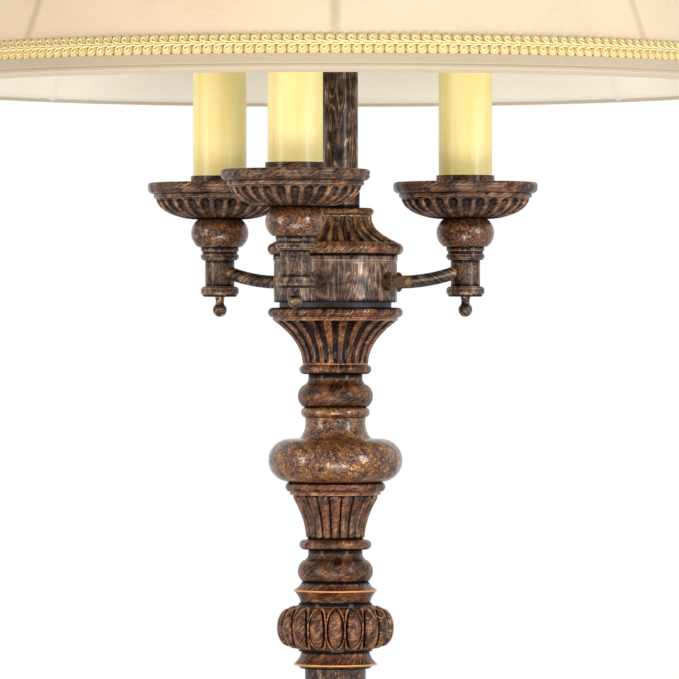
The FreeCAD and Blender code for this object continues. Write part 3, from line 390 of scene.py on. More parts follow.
@dataclass(frozen=True)
class Wax(Finish):
    """Pale yellow candle sleeve with faint upright streaks of lighter wax."""

    name: str = "candle_wax"
    body: Colour = colour("F0DA88")
    light: Colour = colour("FBEDAC")

    def build(self, work: Shading, centre: tuple[float, float]) -> Shading:
        """Stretches the streaks upright round the sleeve."""
        streaks = work.noise(work.place(centre, (1.0, 1.0, 0.03)), 0.14, 3.0, 0.5, 0.2)
        clouds = work.noise(work.place(centre), 0.06, 2.0, 0.5)
        level = work.math("ADD", streaks, work.math("MULTIPLY", work.math("SUBTRACT", clouds, 0.5), 0.4))
        tint = work.ramp(level, [(0.3, self.body), (0.68, self.light)])
        fine = work.noise(work.place(centre, (1.0, 1.0, 0.2)), 1.2, 2.0, 0.5)
        # The emission is painted light: the sleeve, which is no lamp, glows faintly in its own colour.
        work.set(Base_Color=tint, Roughness=0.38, Normal=work.bump(fine, 0.05), Coat_Weight=0.1,
                 Emission_Color=self.body, Emission_Strength=0.14)
        return work


@dataclass(frozen=True)
class Cloth(Finish):
    """Woven shade fabric with fine threads, slubs and a soft sheen."""

    name: str
    body: Colour
    dark_weave_and_shade: Colour
    thread: float = 0.7
    sheen: float = 0.25

    def build(self, work: Shading, centre: tuple[float, float]) -> Shading:
        """Reads the piece's own UV map, in millimetres along and across the cloth."""
        uv = work.node("UVMap", uv_map="weave").outputs[0]
        wide = work.node("Mapping", {"Vector": uv, "Scale": (0.25, 2.2, 1.0)}).outputs[0]
        tall = work.node("Mapping", {"Vector": uv, "Scale": (2.2, 0.3, 1.0)}).outputs[0]
        weft = work.noise(wide, self.thread, 3.0, 0.6)
        warp = work.noise(tall, self.thread, 3.0, 0.6)
        clouds = work.noise(uv, 0.02, 3.0, 0.5)
        weave = work.math("ADD", work.math("MULTIPLY", weft, 0.5), work.math("MULTIPLY", warp, 0.5))
        level = work.math("ADD", work.math("MULTIPLY", work.math("SUBTRACT", weave, 0.5), 0.5), 0.5)
        level = work.math("ADD", level, work.math("MULTIPLY", work.math("SUBTRACT", clouds, 0.5), 0.3))
        # Painted shade along the seams and in the hem's grooves, and painted highlight on the hem's ridges, from the
        # relief attribute.
        level = work.math("ADD", level, work.math("MULTIPLY", work.relief(), 0.35))
        tint = work.ramp(level, [(0.15, self.dark_weave_and_shade), (0.5, self.body)])
        work.set(Base_Color=tint, Roughness=0.72, Normal=work.bump(weave, 0.05), Sheen_Weight=self.sheen)
        return work


@dataclass(frozen=True)
class Cord(Finish):
    """Twisted rayon cord of the braid: pale gold with a painted highlight on top, and old gold in the gaps, which is
    the ribbon's tone and painted shade low on the cords.
    """

    name: str = "braid_cord"
    body: Colour = colour("E4C77E")
    gap_and_shade: Colour = colour("9C7536")

    def build(self, work: Shading, centre: tuple[float, float]) -> Shading:
        """Reads the height above the ribbon, kept as the relief attribute, and the thread twist from Object space."""
        at = work.place(centre)
        threads = work.noise(at, 1.5, 3.0, 0.7)
        level = work.math("ADD", work.relief(), work.math("MULTIPLY", work.math("SUBTRACT", threads, 0.5), 0.8))
        # Painted shade and highlight: the height drives the cords from the old gold of the gaps up to the pale top
        # stop.
        tint = work.ramp(level, [(0.04, self.gap_and_shade), (0.45, self.body), (0.85, colour("FCECB2"))])
        work.set(Base_Color=tint, Roughness=0.45, Normal=work.bump(threads, 0.15), Sheen_Weight=0.15)
        return work


@dataclass(frozen=True)
class Plain(Finish):
    """Felt, plastic, porcelain or glass: a mottled colour with a fine surface of its own."""

    name: str
    light: Colour
    dark: Colour
    rough: float = 0.5
    grain: float = 1.0
    depth: float = 0.05
    coat: float = 0.0

    def build(self, work: Shading, centre: tuple[float, float]) -> Shading:
        """Mottles the colour and raises the grain."""
        at = work.place(centre)
        mottle = work.noise(at, 0.2, 3.0, 0.6)
        grain = work.noise(at, self.grain, 3.0, 0.6)
        tint = work.ramp(mottle, [(0.35, self.dark), (0.65, self.light)])
        rough = work.range(grain, 0.3, 0.7, self.rough * 0.9, self.rough * 1.1)
        work.set(Base_Color=tint, Roughness=rough, Normal=work.bump(grain, self.depth), Coat_Weight=self.coat)
        return work


class Bronzes(Enum):
    """The rubs of bronze on the lamp, by how the strokes run and how much copper shows."""

    RINGS = Bronze("bronze_rings", twist=0.09, across=0.45, along=3.5, ridge_wear_and_glint=0.34)
    COLLARS = Bronze("bronze_collars", twist=0.09, across=0.45, along=3.5, cover=0.03, ridge_wear_and_glint=0.34)
    FLUTES = Bronze("bronze_flutes", twist=0.025, across=0.45, along=3.5, cover=0.01, ridge_wear_and_glint=0.16, hollow_lacquer_and_shade=0.8)
    REEDS = Bronze("bronze_reeds", twist=0.05, across=0.45, along=3.5, cover=0.025, ridge_wear_and_glint=0.14, hollow_lacquer_and_shade=0.6)
    CUPS = Bronze("bronze_cups", body=colour("3A2620"), bright=colour("7A5038"), copper_and_glint=colour("C99468"), twist=0.06,
                  across=0.45, along=4.0, cover=0.01, ridge_wear_and_glint=0.14, hollow_lacquer_and_shade=0.55)
    GOLDEN = Bronze("bronze_golden", body=colour("4E311E"), bright=colour("8E5E38"), copper_and_glint=colour("DCA263"), twist=0.03,
                    across=0.45, along=3.5, cover=0.025, ridge_wear_and_glint=0.18, hollow_lacquer_and_shade=0.4)
    RIMS = Bronze("bronze_rims", girth=38.0, twist=0.075, across=0.45, along=4.0, cover=-0.01, ridge_wear_and_glint=0.22)
    GRAIN = Bronze("bronze_grain", dark=colour("1E1511"), body=colour("513C33"), bright=colour("7E604E"),
                   copper_and_glint=colour("B58D70"), girth=34.0, across=3.0, along=15.0, swirl=0.7, grain=0.3, veins=0.085)
    STEM = Bronze("bronze_stem", dark=colour("170E0A"), body=colour("3F2C22"), bright=colour("76563F"),
                  copper_and_glint=colour("D0A272"), girth=12.7, across=3.2, along=20.0, swirl=0.8, cover=-0.02, grain=0.3,
                  veins=0.1)
    CAST = Bronze("bronze_cast", dark=colour("150E0A"), body=colour("403029"), bright=colour("715541"),
                  copper_and_glint=colour("BE9468"), girth=9.0, across=0.6, along=2.0, twist=0.05, swirl=1.0, cover=0.005,
                  ridge_wear_and_glint=0.12)
    POLE = Bronze("bronze_pole", dark=colour("130C09"), body=colour("38261E"), bright=colour("644532"),
                  copper_and_glint=colour("AE8256"), girth=17.0, across=0.6, along=2.2, swirl=1.2)


STONE = Stone()
BEAD = Stone("stone_bead", 0.8, -0.035)
BRASS = Metal("brass", colour("7A5F42"), colour("2E2117"), 0.4, 0.7)
STEEL = Metal("steel", colour("B9BBBD"), colour("7C7D7F"), 0.35)
IRON = Metal("iron", colour("4B4846"), colour("2B2827"), 0.6, 0.6)
WAX = Wax()
COVER = Cloth("shade_silk", colour("F6DEBC"), colour("CDB795"))
LINING = Cloth("shade_lining", colour("FFF9E8"), colour("FAEFD8"), sheen=0.1)
HEM = Cloth("shade_hem", colour("CFBB9F"), colour("B39C80"))
CORD = Cord()
FELT = Plain("felt", colour("33302E"), colour("1E1C1B"), 0.95, 2.5, 0.25)
BLACK = Plain("black_plastic", colour("1B1918"), colour("100F0E"), 0.45)
SPACER = Plain("black_spacer", colour("1E1815"), colour("0E0B0A"), 0.5)
PORCELAIN = Plain("porcelain", colour("EDE9E0"), colour("DCD7CC"), 0.25, 1.0, 0.03, 0.4)
FROSTED = Plain("frosted_glass", colour("F5F3EE"), colour("EAE7E0"), 0.22, 0.6, 0.01, 0.5)


# ---------------------------------------------------------------- mesh building
@dataclass
class Outline:
    """Half outline of a turned piece, drawn point by point as radius and height."""

    points: list[tuple[float, float]] = field(default_factory=list)

    def to(self, r: float, z: float, steps: int = 1) -> "Outline":
        """Straight on to a point, in a number of steps."""
        if not self.points:
            self.points.append((r, z))
            return self
        r0, z0 = self.points[-1]
        self.points += [(r0 + (r - r0) * i / steps, z0 + (z - z0) * i / steps) for i in range(1, steps + 1)]
        return self

    def arc(self, r: float, z: float, swell: float, steps: int = 10) -> "Outline":
        """Arc to a point.

        Args:
            r: Radius of its end.
            z: Height of its end.
            swell: How far its middle stands to the right of the straight way there.
            steps: Number of runs.

        Returns:
            The outline.
        """
        r0, z0 = self.points[-1]
        chord = math.hypot(r - r0, z - z0)
        along = ((r - r0) / chord, (z - z0) / chord)
        side = (along[1], -along[0]) if swell > 0 else (-along[1], along[0])
        half = 2 * math.atan(2 * abs(swell) / chord)
        bend = chord / 2 / math.sin(half)
        for i in range(1, steps + 1):
            angle = half * (2 * i / steps - 1)
            out = bend * (math.cos(angle) - math.cos(half))
            way = chord / 2 + bend * math.sin(angle)
            self.points.append((r0 + along[0] * way + side[0] * out, z0 + along[1] * way + side[1] * out))
        return self

    def curve(self, shape: Callable[[float], tuple[float, float]], steps: int) -> "Outline":
        """Follows a function of the share of the way, from 0 to 1."""
        self.points += [shape(i / steps) for i in range(1, steps + 1)]
        return self

    def softened(self, size: float) -> list[tuple[float, float]]:
        """Rounds the outline's corners.

        Args:
            size: How far from a corner its rounding starts.

        Returns:
            The points of the rounded outline.
        """
        found: list[tuple[float, float]] = [self.points[0]]
        for before, here, after in zip(self.points, self.points[1:], self.points[2:]):
            first, second = Vector(here) - Vector(before), Vector(after) - Vector(here)
            if first.length < 1e-6 or second.length < 1e-6:
                continue
            if first.angle(second) < math.radians(28):
                found.append(here)
                continue
            back, on = min(size, first.length * 0.4), min(size, second.length * 0.4)
            start = Vector(here) - first.normalized() * back
            end = Vector(here) + second.normalized() * on
            middle = start * 0.25 + Vector(here) * 0.5 + end * 0.25
            found += [tuple(start), tuple(middle), tuple(end)]
        return found + [self.points[-1]]


class Carving:
    """Something cut into or raised on a turned piece between two places on its outline."""

    count: int

    def depth_at(self, share: float, pitch: float, low: float, high: float) -> float:
        """How far the surface moves outwards.

        Args:
            share: Place between two repeats, from -0.5 to 0.5.
            pitch: Width of one repeat there.
            low: Distance along the outline from where the carving starts.
            high: Distance to where it ends.

        Returns:
            The move in millimetres, below 0 where it is cut in.
        """
        raise NotImplementedError


@dataclass(frozen=True)
class Flutes(Carving):
    """Round-bottomed flutes with arched ends and narrow lands between them."""

    count: int
    depth: float = 0.42
    land: float = 0.14
    arch_low: float = 1.0
    arch_high: float = 1.0
    lip: float = 0.12

    def depth_at(self, share: float, pitch: float, low: float, high: float) -> float:
        """See Carving."""
        half = pitch / 2 * (1 - self.land)
        off = [max(0.0, half - (end / arch if arch else math.inf)) for end, arch in
               ((low, self.arch_low), (high, self.arch_high))]
        reach = math.hypot(share * pitch, max(off)) / half
        if reach >= 1:
            return self.lip * max(0.0, 1 - (reach - 1) / 0.35)
        return self.lip - (self.lip + self.depth * half) * (1 - reach**2.2) ** 0.75


@dataclass(frozen=True)
class Reeds(Carving):
    """Broad rounded ribs with narrow grooves between them."""

    count: int
    depth: float = 1.5
    arch: float = 1.0

    def depth_at(self, share: float, pitch: float, low: float, high: float) -> float:
        """See Carving."""
        half = pitch / 2
        off = max(0.0, half - min(low, high) / self.arch)
        reach = min(1.0, math.hypot(share * pitch, off) / half)
        return -self.depth * reach**2.4


@dataclass(frozen=True)
class Lobes(Carving):
    """Egg-shaped lobes, each inside a thin raised border."""

    count: int
    height: float = 2.9
    border: float = 0.9

    def depth_at(self, share: float, pitch: float, low: float, high: float) -> float:
        """See Carving."""
        length = low + high
        up = (low / length - 0.5) * 2
        across = share * 2 / (1.0 - 0.05 * up)
        reach = math.hypot(across, (up + 0.02) / 0.86)
        if reach < 0.76:
            return self.height * (1 - (reach / 0.77) ** 2.4) ** 0.5
        return self.border * math.exp(-(((reach - 0.98) / 0.1) ** 2)) - 0.2


def turned(points: list[tuple[float, float]], columns: int, closed: bool = True) -> bmesh.types.BMesh:
    """Spins an outline round Z. Each vertex keeps its distance along the outline in the layer "way".

    Args:
        points: Radius and height of each point, in millimetres.
        columns: Number of steps round.
        closed: Whether the last point joins the first, for a piece with a bore.

    Returns:
        The mesh, with faces that point outwards.
    """
    bm = bmesh.new()
    way = bm.verts.layers.float.new("way")
    chain, run = [], 0.0
    for i, (r, z) in enumerate(points):
        run += math.dist(points[i - 1], (r, z)) if i else 0.0
        vertex = bm.verts.new((0.0, -r * MM, z * MM))
        vertex[way] = run
        chain.append(vertex)
    edges = [bm.edges.new(pair) for pair in zip(chain, chain[1:])]
    if closed:
        edges.append(bm.edges.new((chain[-1], chain[0])))
    sectors = math.gcd(columns, 12)
    bmesh.ops.spin(bm, geom=chain + edges, cent=(0, 0, 0), axis=(0, 0, 1), angle=2 * math.pi / sectors,
                   steps=columns // sectors)
    sector = bm.verts[:] + bm.edges[:] + bm.faces[:]
    for i in range(1, sectors):
        copy = [part for part in bmesh.ops.duplicate(bm, geom=sector)["geom"] if isinstance(part, bmesh.types.BMVert)]
        bmesh.ops.rotate(bm, verts=copy, cent=(0, 0, 0), matrix=Matrix.Rotation(2 * math.pi * i / sectors, 3, "Z"))
    bmesh.ops.remove_doubles(bm, verts=bm.verts[:], dist=2e-6)
    bmesh.ops.recalc_face_normals(bm, faces=bm.faces[:])
    return bm


def carve(bm: bmesh.types.BMesh, carving: Carving, start: float, end: float) -> None:
    """Moves a turned mesh's vertices as a carving says.

    Args:
        bm: A mesh from turned().
        carving: What is cut or raised.
        start: Distance along the outline at which it starts.
        end: Distance at which it ends.
    """
    bm.normal_update()
    way = bm.verts.layers.float["way"]
    moves = []
    for vertex in bm.verts:
        low, high = vertex[way] - start, end - vertex[way]
        if low < 0 or high < 0:
            continue
        radius = math.hypot(vertex.co.x, vertex.co.y) / MM
        phase = math.atan2(vertex.co.x, -vertex.co.y) / (2 * math.pi) * carving.count + 0.5
        share = phase - math.floor(phase) - 0.5
        move = carving.depth_at(share, 2 * math.pi * radius / carving.count, low, high)
        moves.append((vertex, vertex.normal * move * MM))
    for vertex, move in moves:
        vertex.co += move


def mark_relief(mesh: bpy.types.Mesh, seated: tuple[bool, bool] = (False, False), rounds: int = 10,
                depth: float = 0.35) -> None:
    """Keeps at each vertex how deep it lies in a groove, below 0, or how sharp or high a ridge it is on, above 0.

    Args:
        mesh: The mesh to mark.
        seated: Whether its bottom and its top meet another piece; a painted shade darkens the gap between them.
        rounds: How many times the surroundings are averaged.
        depth: Depth in millimetres that counts as -1.
    """
    count = len(mesh.vertices)
    place = np.empty(count * 3)
    normal = np.empty(count * 3)
    pairs = np.empty(len(mesh.edges) * 2, dtype=np.int64)
    mesh.vertices.foreach_get("co", place)
    mesh.vertices.foreach_get("normal", normal)
    mesh.edges.foreach_get("vertices", pairs)
    place, normal, pairs = place.reshape(-1, 3), normal.reshape(-1, 3), pairs.reshape(-1, 2)
    ends, others = np.concatenate([pairs[:, 0], pairs[:, 1]]), np.concatenate([pairs[:, 1], pairs[:, 0]])
    beside = np.maximum(np.bincount(ends, minlength=count), 1)[:, None]
    calm = place.copy()
    for _ in range(rounds):
        total = np.stack([np.bincount(ends, calm[others, k], minlength=count) for k in range(3)], axis=1)
        calm = (calm + total / beside) / 2
    stands = ((place - calm) * normal).sum(axis=1) / (depth * MM)
    apart = place[ends] - place[others]
    bend = (apart * normal[ends]).sum(axis=1) / np.maximum((apart**2).sum(axis=1), 1e-12) * 2 * MM
    sharp = np.bincount(ends, np.clip(bend, -2.0, 2.0), minlength=count) / beside[:, 0]
    for _ in range(2):
        sharp = (sharp + np.bincount(ends, sharp[others], minlength=count) / beside[:, 0]) / 2
    ridge = np.maximum(np.maximum(sharp - 0.2, stands - 0.65) * 1.5, 0.0)
    relief = np.where(stands < -0.1, stands + 0.1, ridge)
    height = place[:, 2] / MM
    # Painted shade: the relief falls below 0 within 1.5 mm of a seat, darkening the gap between pieces.
    for meets, away in zip(seated, (height - height.min(), height.max() - height)):
        relief = np.where(meets & (away < 1.5), np.minimum(relief, away - 1.0), relief)
    attribute = mesh.attributes.new("relief", "FLOAT", "POINT")
    attribute.data.foreach_set("value", np.clip(relief, -1, 1).astype(np.float32))


def filed(bm: bmesh.types.BMesh, name: str, body: str, materials: Iterable[bpy.types.Material],
          replaced: Iterable[str] = (), sharp: float = 32.0, relief: bool = True,
          seated: tuple[bool, bool] = (False, False)) -> bpy.types.Object:
    """Turns a finished mesh into a piece that rides on a CAD body.

    Args:
        bm: The mesh, in metres, in the lamp's frame.
        name: Name of the piece.
        body: CAD body that it moves with.
        materials: Its materials.
        replaced: CAD nodes that it stands for.
        sharp: Edges that bend more than this many degrees stay sharp.
        relief: Whether its relief is marked.
        seated: Whether its bottom and its top meet another piece, where a painted shade darkens the gap.

    Returns:
        The piece.
    """
    mesh = bpy.data.meshes.new(name)
    bm.to_mesh(mesh)
    bm.free()
    mesh.shade_smooth()
    mesh.set_sharp_from_angle(angle=math.radians(sharp))
    if relief:
        mark_relief(mesh, seated)
    for material in materials:
        mesh.materials.append(material)
    piece = bpy.data.objects.new(name, mesh)
    bpy.context.scene.collection.objects.link(piece)
    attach(piece, body)
    if replaced:
        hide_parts(*replaced)
    LOG.info("%s: %d faces", name, len(mesh.polygons))
    return piece


def dress(nodes: Iterable[str], finish: Finish, centre: tuple[float, float] = (0.0, 0.0)) -> None:
    """Gives CAD nodes a finish and leaves their meshes alone."""
    for node in nodes:
        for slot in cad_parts[node].material_slots:
            slot.material = finish.material(centre)
        LOG.info("%s: dressed in %s", node, finish.name)


@dataclass
class Turning:
    """A turned piece: its outline above the CAD node that it stands for, its carving and its finish."""

    node: str
    outline: Outline
    finish: Finish
    slot: Slot = Slot.BRONZE
    columns: int = 128
    soft: float = 0.35
    body: str = "root"
    carving: Carving | None = None
    span: tuple[float, float] = (0.0, 0.0)
    name: str = ""
    lift: float | None = None
    replaced: bool = True
    seated: tuple[bool, bool] = (True, True)

    def mesh(self) -> bmesh.types.BMesh:
        """Spins and carves the piece on the Z axis, with its foot at zero."""
        closed = self.outline.points[0][0] > 0 and self.outline.points[-1][0] > 0
        bm = turned(self.outline.softened(self.soft), self.columns, closed)
        if self.carving:
            carve(bm, self.carving, *self.span)
        return bm

    def build(self, centre: tuple[float, float] = (0.0, 0.0)) -> bpy.types.Object:
        """Makes the piece.

        Args:
            centre: Place of its axis, in millimetres.

        Returns:
            The piece.
        """
        bm = self.mesh()
        lift = low_of(self.node) if self.lift is None else self.lift
        bmesh.ops.translate(bm, verts=bm.verts[:], vec=Vector((*centre, lift)) * MM)
        return filed(bm, self.name or self.node + "_turned", self.body, [self.finish.material(centre)],
                     [self.node] if self.replaced else [], seated=self.seated)


def length_of(points: list[tuple[float, float]]) -> float:
    """Length of an outline."""
    return sum(math.dist(a, b) for a, b in zip(points, points[1:]))


# ---------------------------------------------------------------- column
@dataclass
class Column:
    """The stacked castings from the foot to the drum."""

    bore: float = 8.0

    def collar(self, node: str, height: float, edge_share: float, lift: float | None = None, name: str = "",
               replaced: bool = True) -> Turning:
        """Flared collar with one sharp edge."""
        edge = height * edge_share
        shape = Outline().to(self.bore, 0).to(19.6, 0).arc(22.9, edge - 0.6, -0.6).arc(22.9, edge + 0.6, 0.6, 6)
        shape.arc(19.0, height, -0.6).to(self.bore, height)
        return Turning(node, shape, Bronzes.COLLARS.value, columns=144, soft=0.25, lift=lift, name=name,
                       replaced=replaced)

    def melon(self, node: str, lift: float | None = None, name: str = "", replaced: bool = True) -> Turning:
        """Lobed ring between two plain bands."""
        shape = Outline().to(self.bore, 0).to(20.7, 0).to(20.7, 1.9)
        start = length_of(shape.points)

        def side(t: float) -> tuple[float, float]:
            angle = math.pi * t
            return 20.9 + 9.4 * math.sin(angle) ** 0.8, 13.5 - 11.4 * math.cos(angle)

        shape.curve(side, 72)
        end = length_of(shape.points)
        shape.to(20.7, 25.1).to(20.7, 27.0).to(self.bore, 27.0)
        return Turning(node, shape, Bronzes.REEDS.value, columns=18 * 24, soft=0.2, carving=Lobes(18),
                       span=(start, end), lift=lift, name=name, replaced=replaced)

    def bulge(self, node: str) -> Turning:
        """Cushion ring with a waisted neck above it."""
        shape = Outline().to(self.bore, 0).to(18.15, 0).arc(18.15, 12.0, 2.95, 18).arc(15.2, 15.8, -0.74)
        return Turning(node, shape.to(15.2, 18.3).to(self.bore, 18.3), Bronzes.RINGS.value, soft=0.3)

    def vase(self, node: str, height: float, rim: float, foot: float, top: float, power: float, carving: Carving,
             finish: Finish) -> Turning:
        """Fluted vase: a ring at its foot, a carved flare, a plain band and a rim."""
        ring, band = 5.4, height - 7.2
        shape = Outline().to(self.bore, 0).to(17.5, 0).arc(17.5, ring, 2.7, 14).to(foot, ring)
        start = length_of(shape.points)
        shape.curve(lambda t: (foot + (top - foot) * t**power, ring + (band - ring) * t), 44)
        end = length_of(shape.points)
        roll = (height - band - 1.7) / 2
        shape.to(top + 0.6, band).to(top + 0.6, band + 1.7).to(rim - roll, band + 1.7)
        shape.arc(rim - roll, height, roll * 0.998, 16)
        return Turning(node, shape.to(self.bore, height), finish, columns=carving.count * 14, soft=0.3,
                       carving=carving, span=(start + 0.2, end - 0.2))

    def knob(self, node: str, height: float, ball: float, ball_h: float, neck: float, ring: float) -> Turning:
        """Stone-effect knob: a wide round ring, a waist and a small ring above."""
        roll = ball_h / 2
        shape = Outline().to(self.bore, 0).to(ball - roll, 0).arc(ball - roll, ball_h, roll * 0.998, 32)
        shape.to(neck + 3.2, ball_h).arc(neck, height - 6.2, -1.4).to(ring - 2.9, height - 6.2)
        shape.arc(ring - 2.9, height, 2.9, 14).to(self.bore, height)
        return Turning(node, shape, STONE, Slot.STONE, soft=0.5)

    def build(self) -> None:
        """Makes the column's pieces and dresses the tubes."""
        flutes = Bronzes.FLUTES.value
        self.knob("lower_knob", 36.0, 43.0, 23.6, 20.1, 23.4).build()
        self.vase("lower_vase", 46.0, 31.0, 18.0, 27.0, 1.9, Flutes(20, land=0.3), flutes).build()
        low = low_of("lower_melon_ring")
        self.collar("lower_melon_ring", 9.6, 0.24, low, "lower_collar_turned", False).build()
        self.melon("lower_melon_ring", low + 9.6).build()
        self.collar("lower_melon_ring", 11.8, 0.6, low + 36.6, "lower_neck_turned", False).build()
        coupling = Outline().to(self.bore, 0).to(19.1, 0).arc(19.1, 4, 2.0).arc(21.0, 8, -1.0).arc(21.0, 18, 2.0, 16)
        coupling.arc(19.1, 22, -1.0).arc(19.1, 26, 2.0).to(self.bore, 26)
        Turning("pole_coupling", coupling, Bronzes.RINGS.value).build()
        self.collar("collar_bottom", 9.6, 0.24).build()
        self.melon("melon_ring").build()
        self.collar("collar_top", 11.8, 0.6).build()
        self.bulge("bulge_lower").build()
        self.vase("vase_lower", 37.9, 28.1, 16.4, 24.9, 1.9, Reeds(20), Bronzes.REEDS.value).build()
        self.knob("stone_knob", 42.2, 37.7, 24.2, 17.1, 19.4).build()
        self.bulge("bulge_upper").build()
        self.vase("vase_upper", 37.4, 37.9, 18.3, 34.6, 2.1, Flutes(22, land=0.32, arch_high=0.8), flutes).build()
        dress(["pole_lower", "pole_upper"], Bronzes.POLE.value)


@dataclass
class Base:
    """Round stepped foot with its felt, dome and cord outlet."""

    radius: float = 152.4

    def build(self) -> None:
        """Makes the foot and the dome, and dresses what is under them."""
        foot = Outline().to(5.3, 46).to(60, 46).to(100, 32).to(108, 20).to(134, 11).to(146, 11).to(147, 0)
        foot.to(self.radius - 2.5, 0).arc(self.radius - 2.5, 15, 2.5, 14).to(138, 15).arc(112, 28, -4.0, 20)
        foot.arc(109.5, 33, 2.5, 12).arc(78, 46, -2.5, 20).to(72, 46).to(72, 48).to(5.3, 48)
        Turning("base_foot", foot, Bronzes.RIMS.value, columns=192, soft=0.6, seated=(False, False)).build()
        dome = Outline().to(5.3, 0).to(65.5, 0).arc(65.5, 9, 4.5, 18).to(63, 9)
        start = length_of(dome.points)
        dome.curve(lambda t: (25 + 38 * (1 - t) ** 2.6, 9 + 31 * t), 48)
        end = length_of(dome.points)
        dome.to(26, 40).arc(26, 46, 3.0, 14).to(5.3, 46)
        Turning("base_dome", dome, Bronzes.GOLDEN.value, columns=28 * 12, carving=Flutes(28, arch_low=0.8),
                span=(start + 0.2, end - 0.3)).build()
        dress(["base_felt"], FELT)
        dress(["base_weight", "base_nut"], IRON)
        dress(["cord_bushing"], BLACK)


@dataclass
class Hub:
    """Drum, cap and stem."""

    radius: float = 34.6

    def build(self) -> None:
        """Makes the drum, the fluted cap and the stem's collar, and dresses the rest."""
        drum = Outline().to(20, 0).to(34.0, 0).to(self.radius, 0.6).to(self.radius, 22.4, 12).to(34.4, 22.6)
        drum.to(34.4, 23.0).to(35.0, 23.2).to(35.0, 26.2, 4).to(34.6, 26.6).to(20, 26.6)
        Turning("drum", drum, Bronzes.GRAIN.value, columns=160, soft=0.2).build()
        low = low_of("drum_cap") + 3.0
        cap = Outline().to(5.3, 0).to(34.85, 0).arc(34.85, 6.7, 3.35, 16).to(35.6, 6.7)
        start = length_of(cap.points)
        cap.curve(lambda t: (20.2 + 15.4 * (1 - t) ** 2.4, 6.7 + 15.2 * t), 48)
        end = length_of(cap.points)
        cap.to(19.4, 22.1).arc(19.4, 26.4, 2.2, 12).to(5.3, 26.4)
        Turning("drum_cap", cap, Bronzes.GOLDEN.value, columns=28 * 12, span=(start + 0.1, end - 0.1), lift=low,
                carving=Flutes(28, depth=0.5, land=0.2, arch_low=0.9, arch_high=0.6, lip=0.2)).build()
        collar = Outline().to(12.8, 0).to(13.7, 0).to(13.7, 9.0, 4).to(12.8, 9.0)
        Turning("stem_collar", collar, Bronzes.RINGS.value, columns=96, soft=0.15).build()
        dress(["stem_tube"], Bronzes.STEM.value)
        dress(["shade_seat", "finial"], Bronzes.RINGS.value)
        dress(["drum_spacer"], SPACER)
        dress(["stem_stud", "centre_pipe", "drum_nuts", "candle_nipples"], STEEL)


@dataclass
class Switch:
    """Rotary switch: threaded neck, washer and nut, and a knurled knob."""

    wall: float = 34.6
    neck_out: float = 6.2
    neck_r: float = 3.4
    pitch: float = 0.85
    grip_r: float = 3.2
    grip_l: float = 7.4

    def laid(self, bm: bmesh.types.BMesh, out: float) -> bmesh.types.BMesh:
        """Lays a piece made upwards from zero along the switch's azimuth, with its foot out from the lamp's axis."""
        height = (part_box("switch_knob")[0].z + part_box("switch_knob")[1].z) / 2
        turn = Matrix.Rotation(math.radians(SWITCH_AZIMUTH), 4, "Z")
        place = turn @ Matrix.Translation((0, -out * MM, height)) @ Matrix.Rotation(math.radians(90), 4, "X")
        bmesh.ops.transform(bm, matrix=place, verts=bm.verts[:])
        return bm

    def build(self) -> None:
        """Makes the neck and the knob, and dresses the nut."""
        body = Outline().to(1.98, 22.0).to(1.98, 2.0).to(0.5, 2.0).to(0.5, 0).to(8.3, 0).to(8.3, 14.0)
        body.to(self.neck_r, 14.0).to(self.neck_r, 15.9)
        start = 15.9
        turns = int((22.05 - start) / self.pitch)
        for i in range(turns):
            body.to(self.neck_r, start + (i + 0.5) * self.pitch - 0.12).to(self.neck_r - 0.42, start + (i + 1) * self.pitch)
        body.to(self.neck_r, 21.7).to(self.neck_r - 0.3, 22.0)
        foot = self.wall + self.neck_out - 22.0
        filed(self.laid(turned(body.points, 48), foot), "switch_neck", "root", [BRASS.material()],
              ["switch_body"])
        grip = self.wall + self.neck_out + 0.3
        knob = Outline().to(0, -6.3).to(1.8, -6.3).to(1.8, 0).to(self.grip_r - 0.3, 0).to(self.grip_r, 0.4)
        start = length_of(knob.points)
        knob.to(self.grip_r, self.grip_l - 0.5, 8)
        end = length_of(knob.points)
        knob.to(self.grip_r - 0.5, self.grip_l).arc(0, self.grip_l + 1.0, 0.5, 8)
        bm = turned(knob.points, 24 * 4, False)
        carve(bm, Reeds(24, depth=0.28, arch=0.5), start, end)
        filed(self.laid(bm, grip), "switch_grip", "switch_knob", [BRASS.material()], ["switch_knob"])
        dress(["switch_nut"], BRASS)


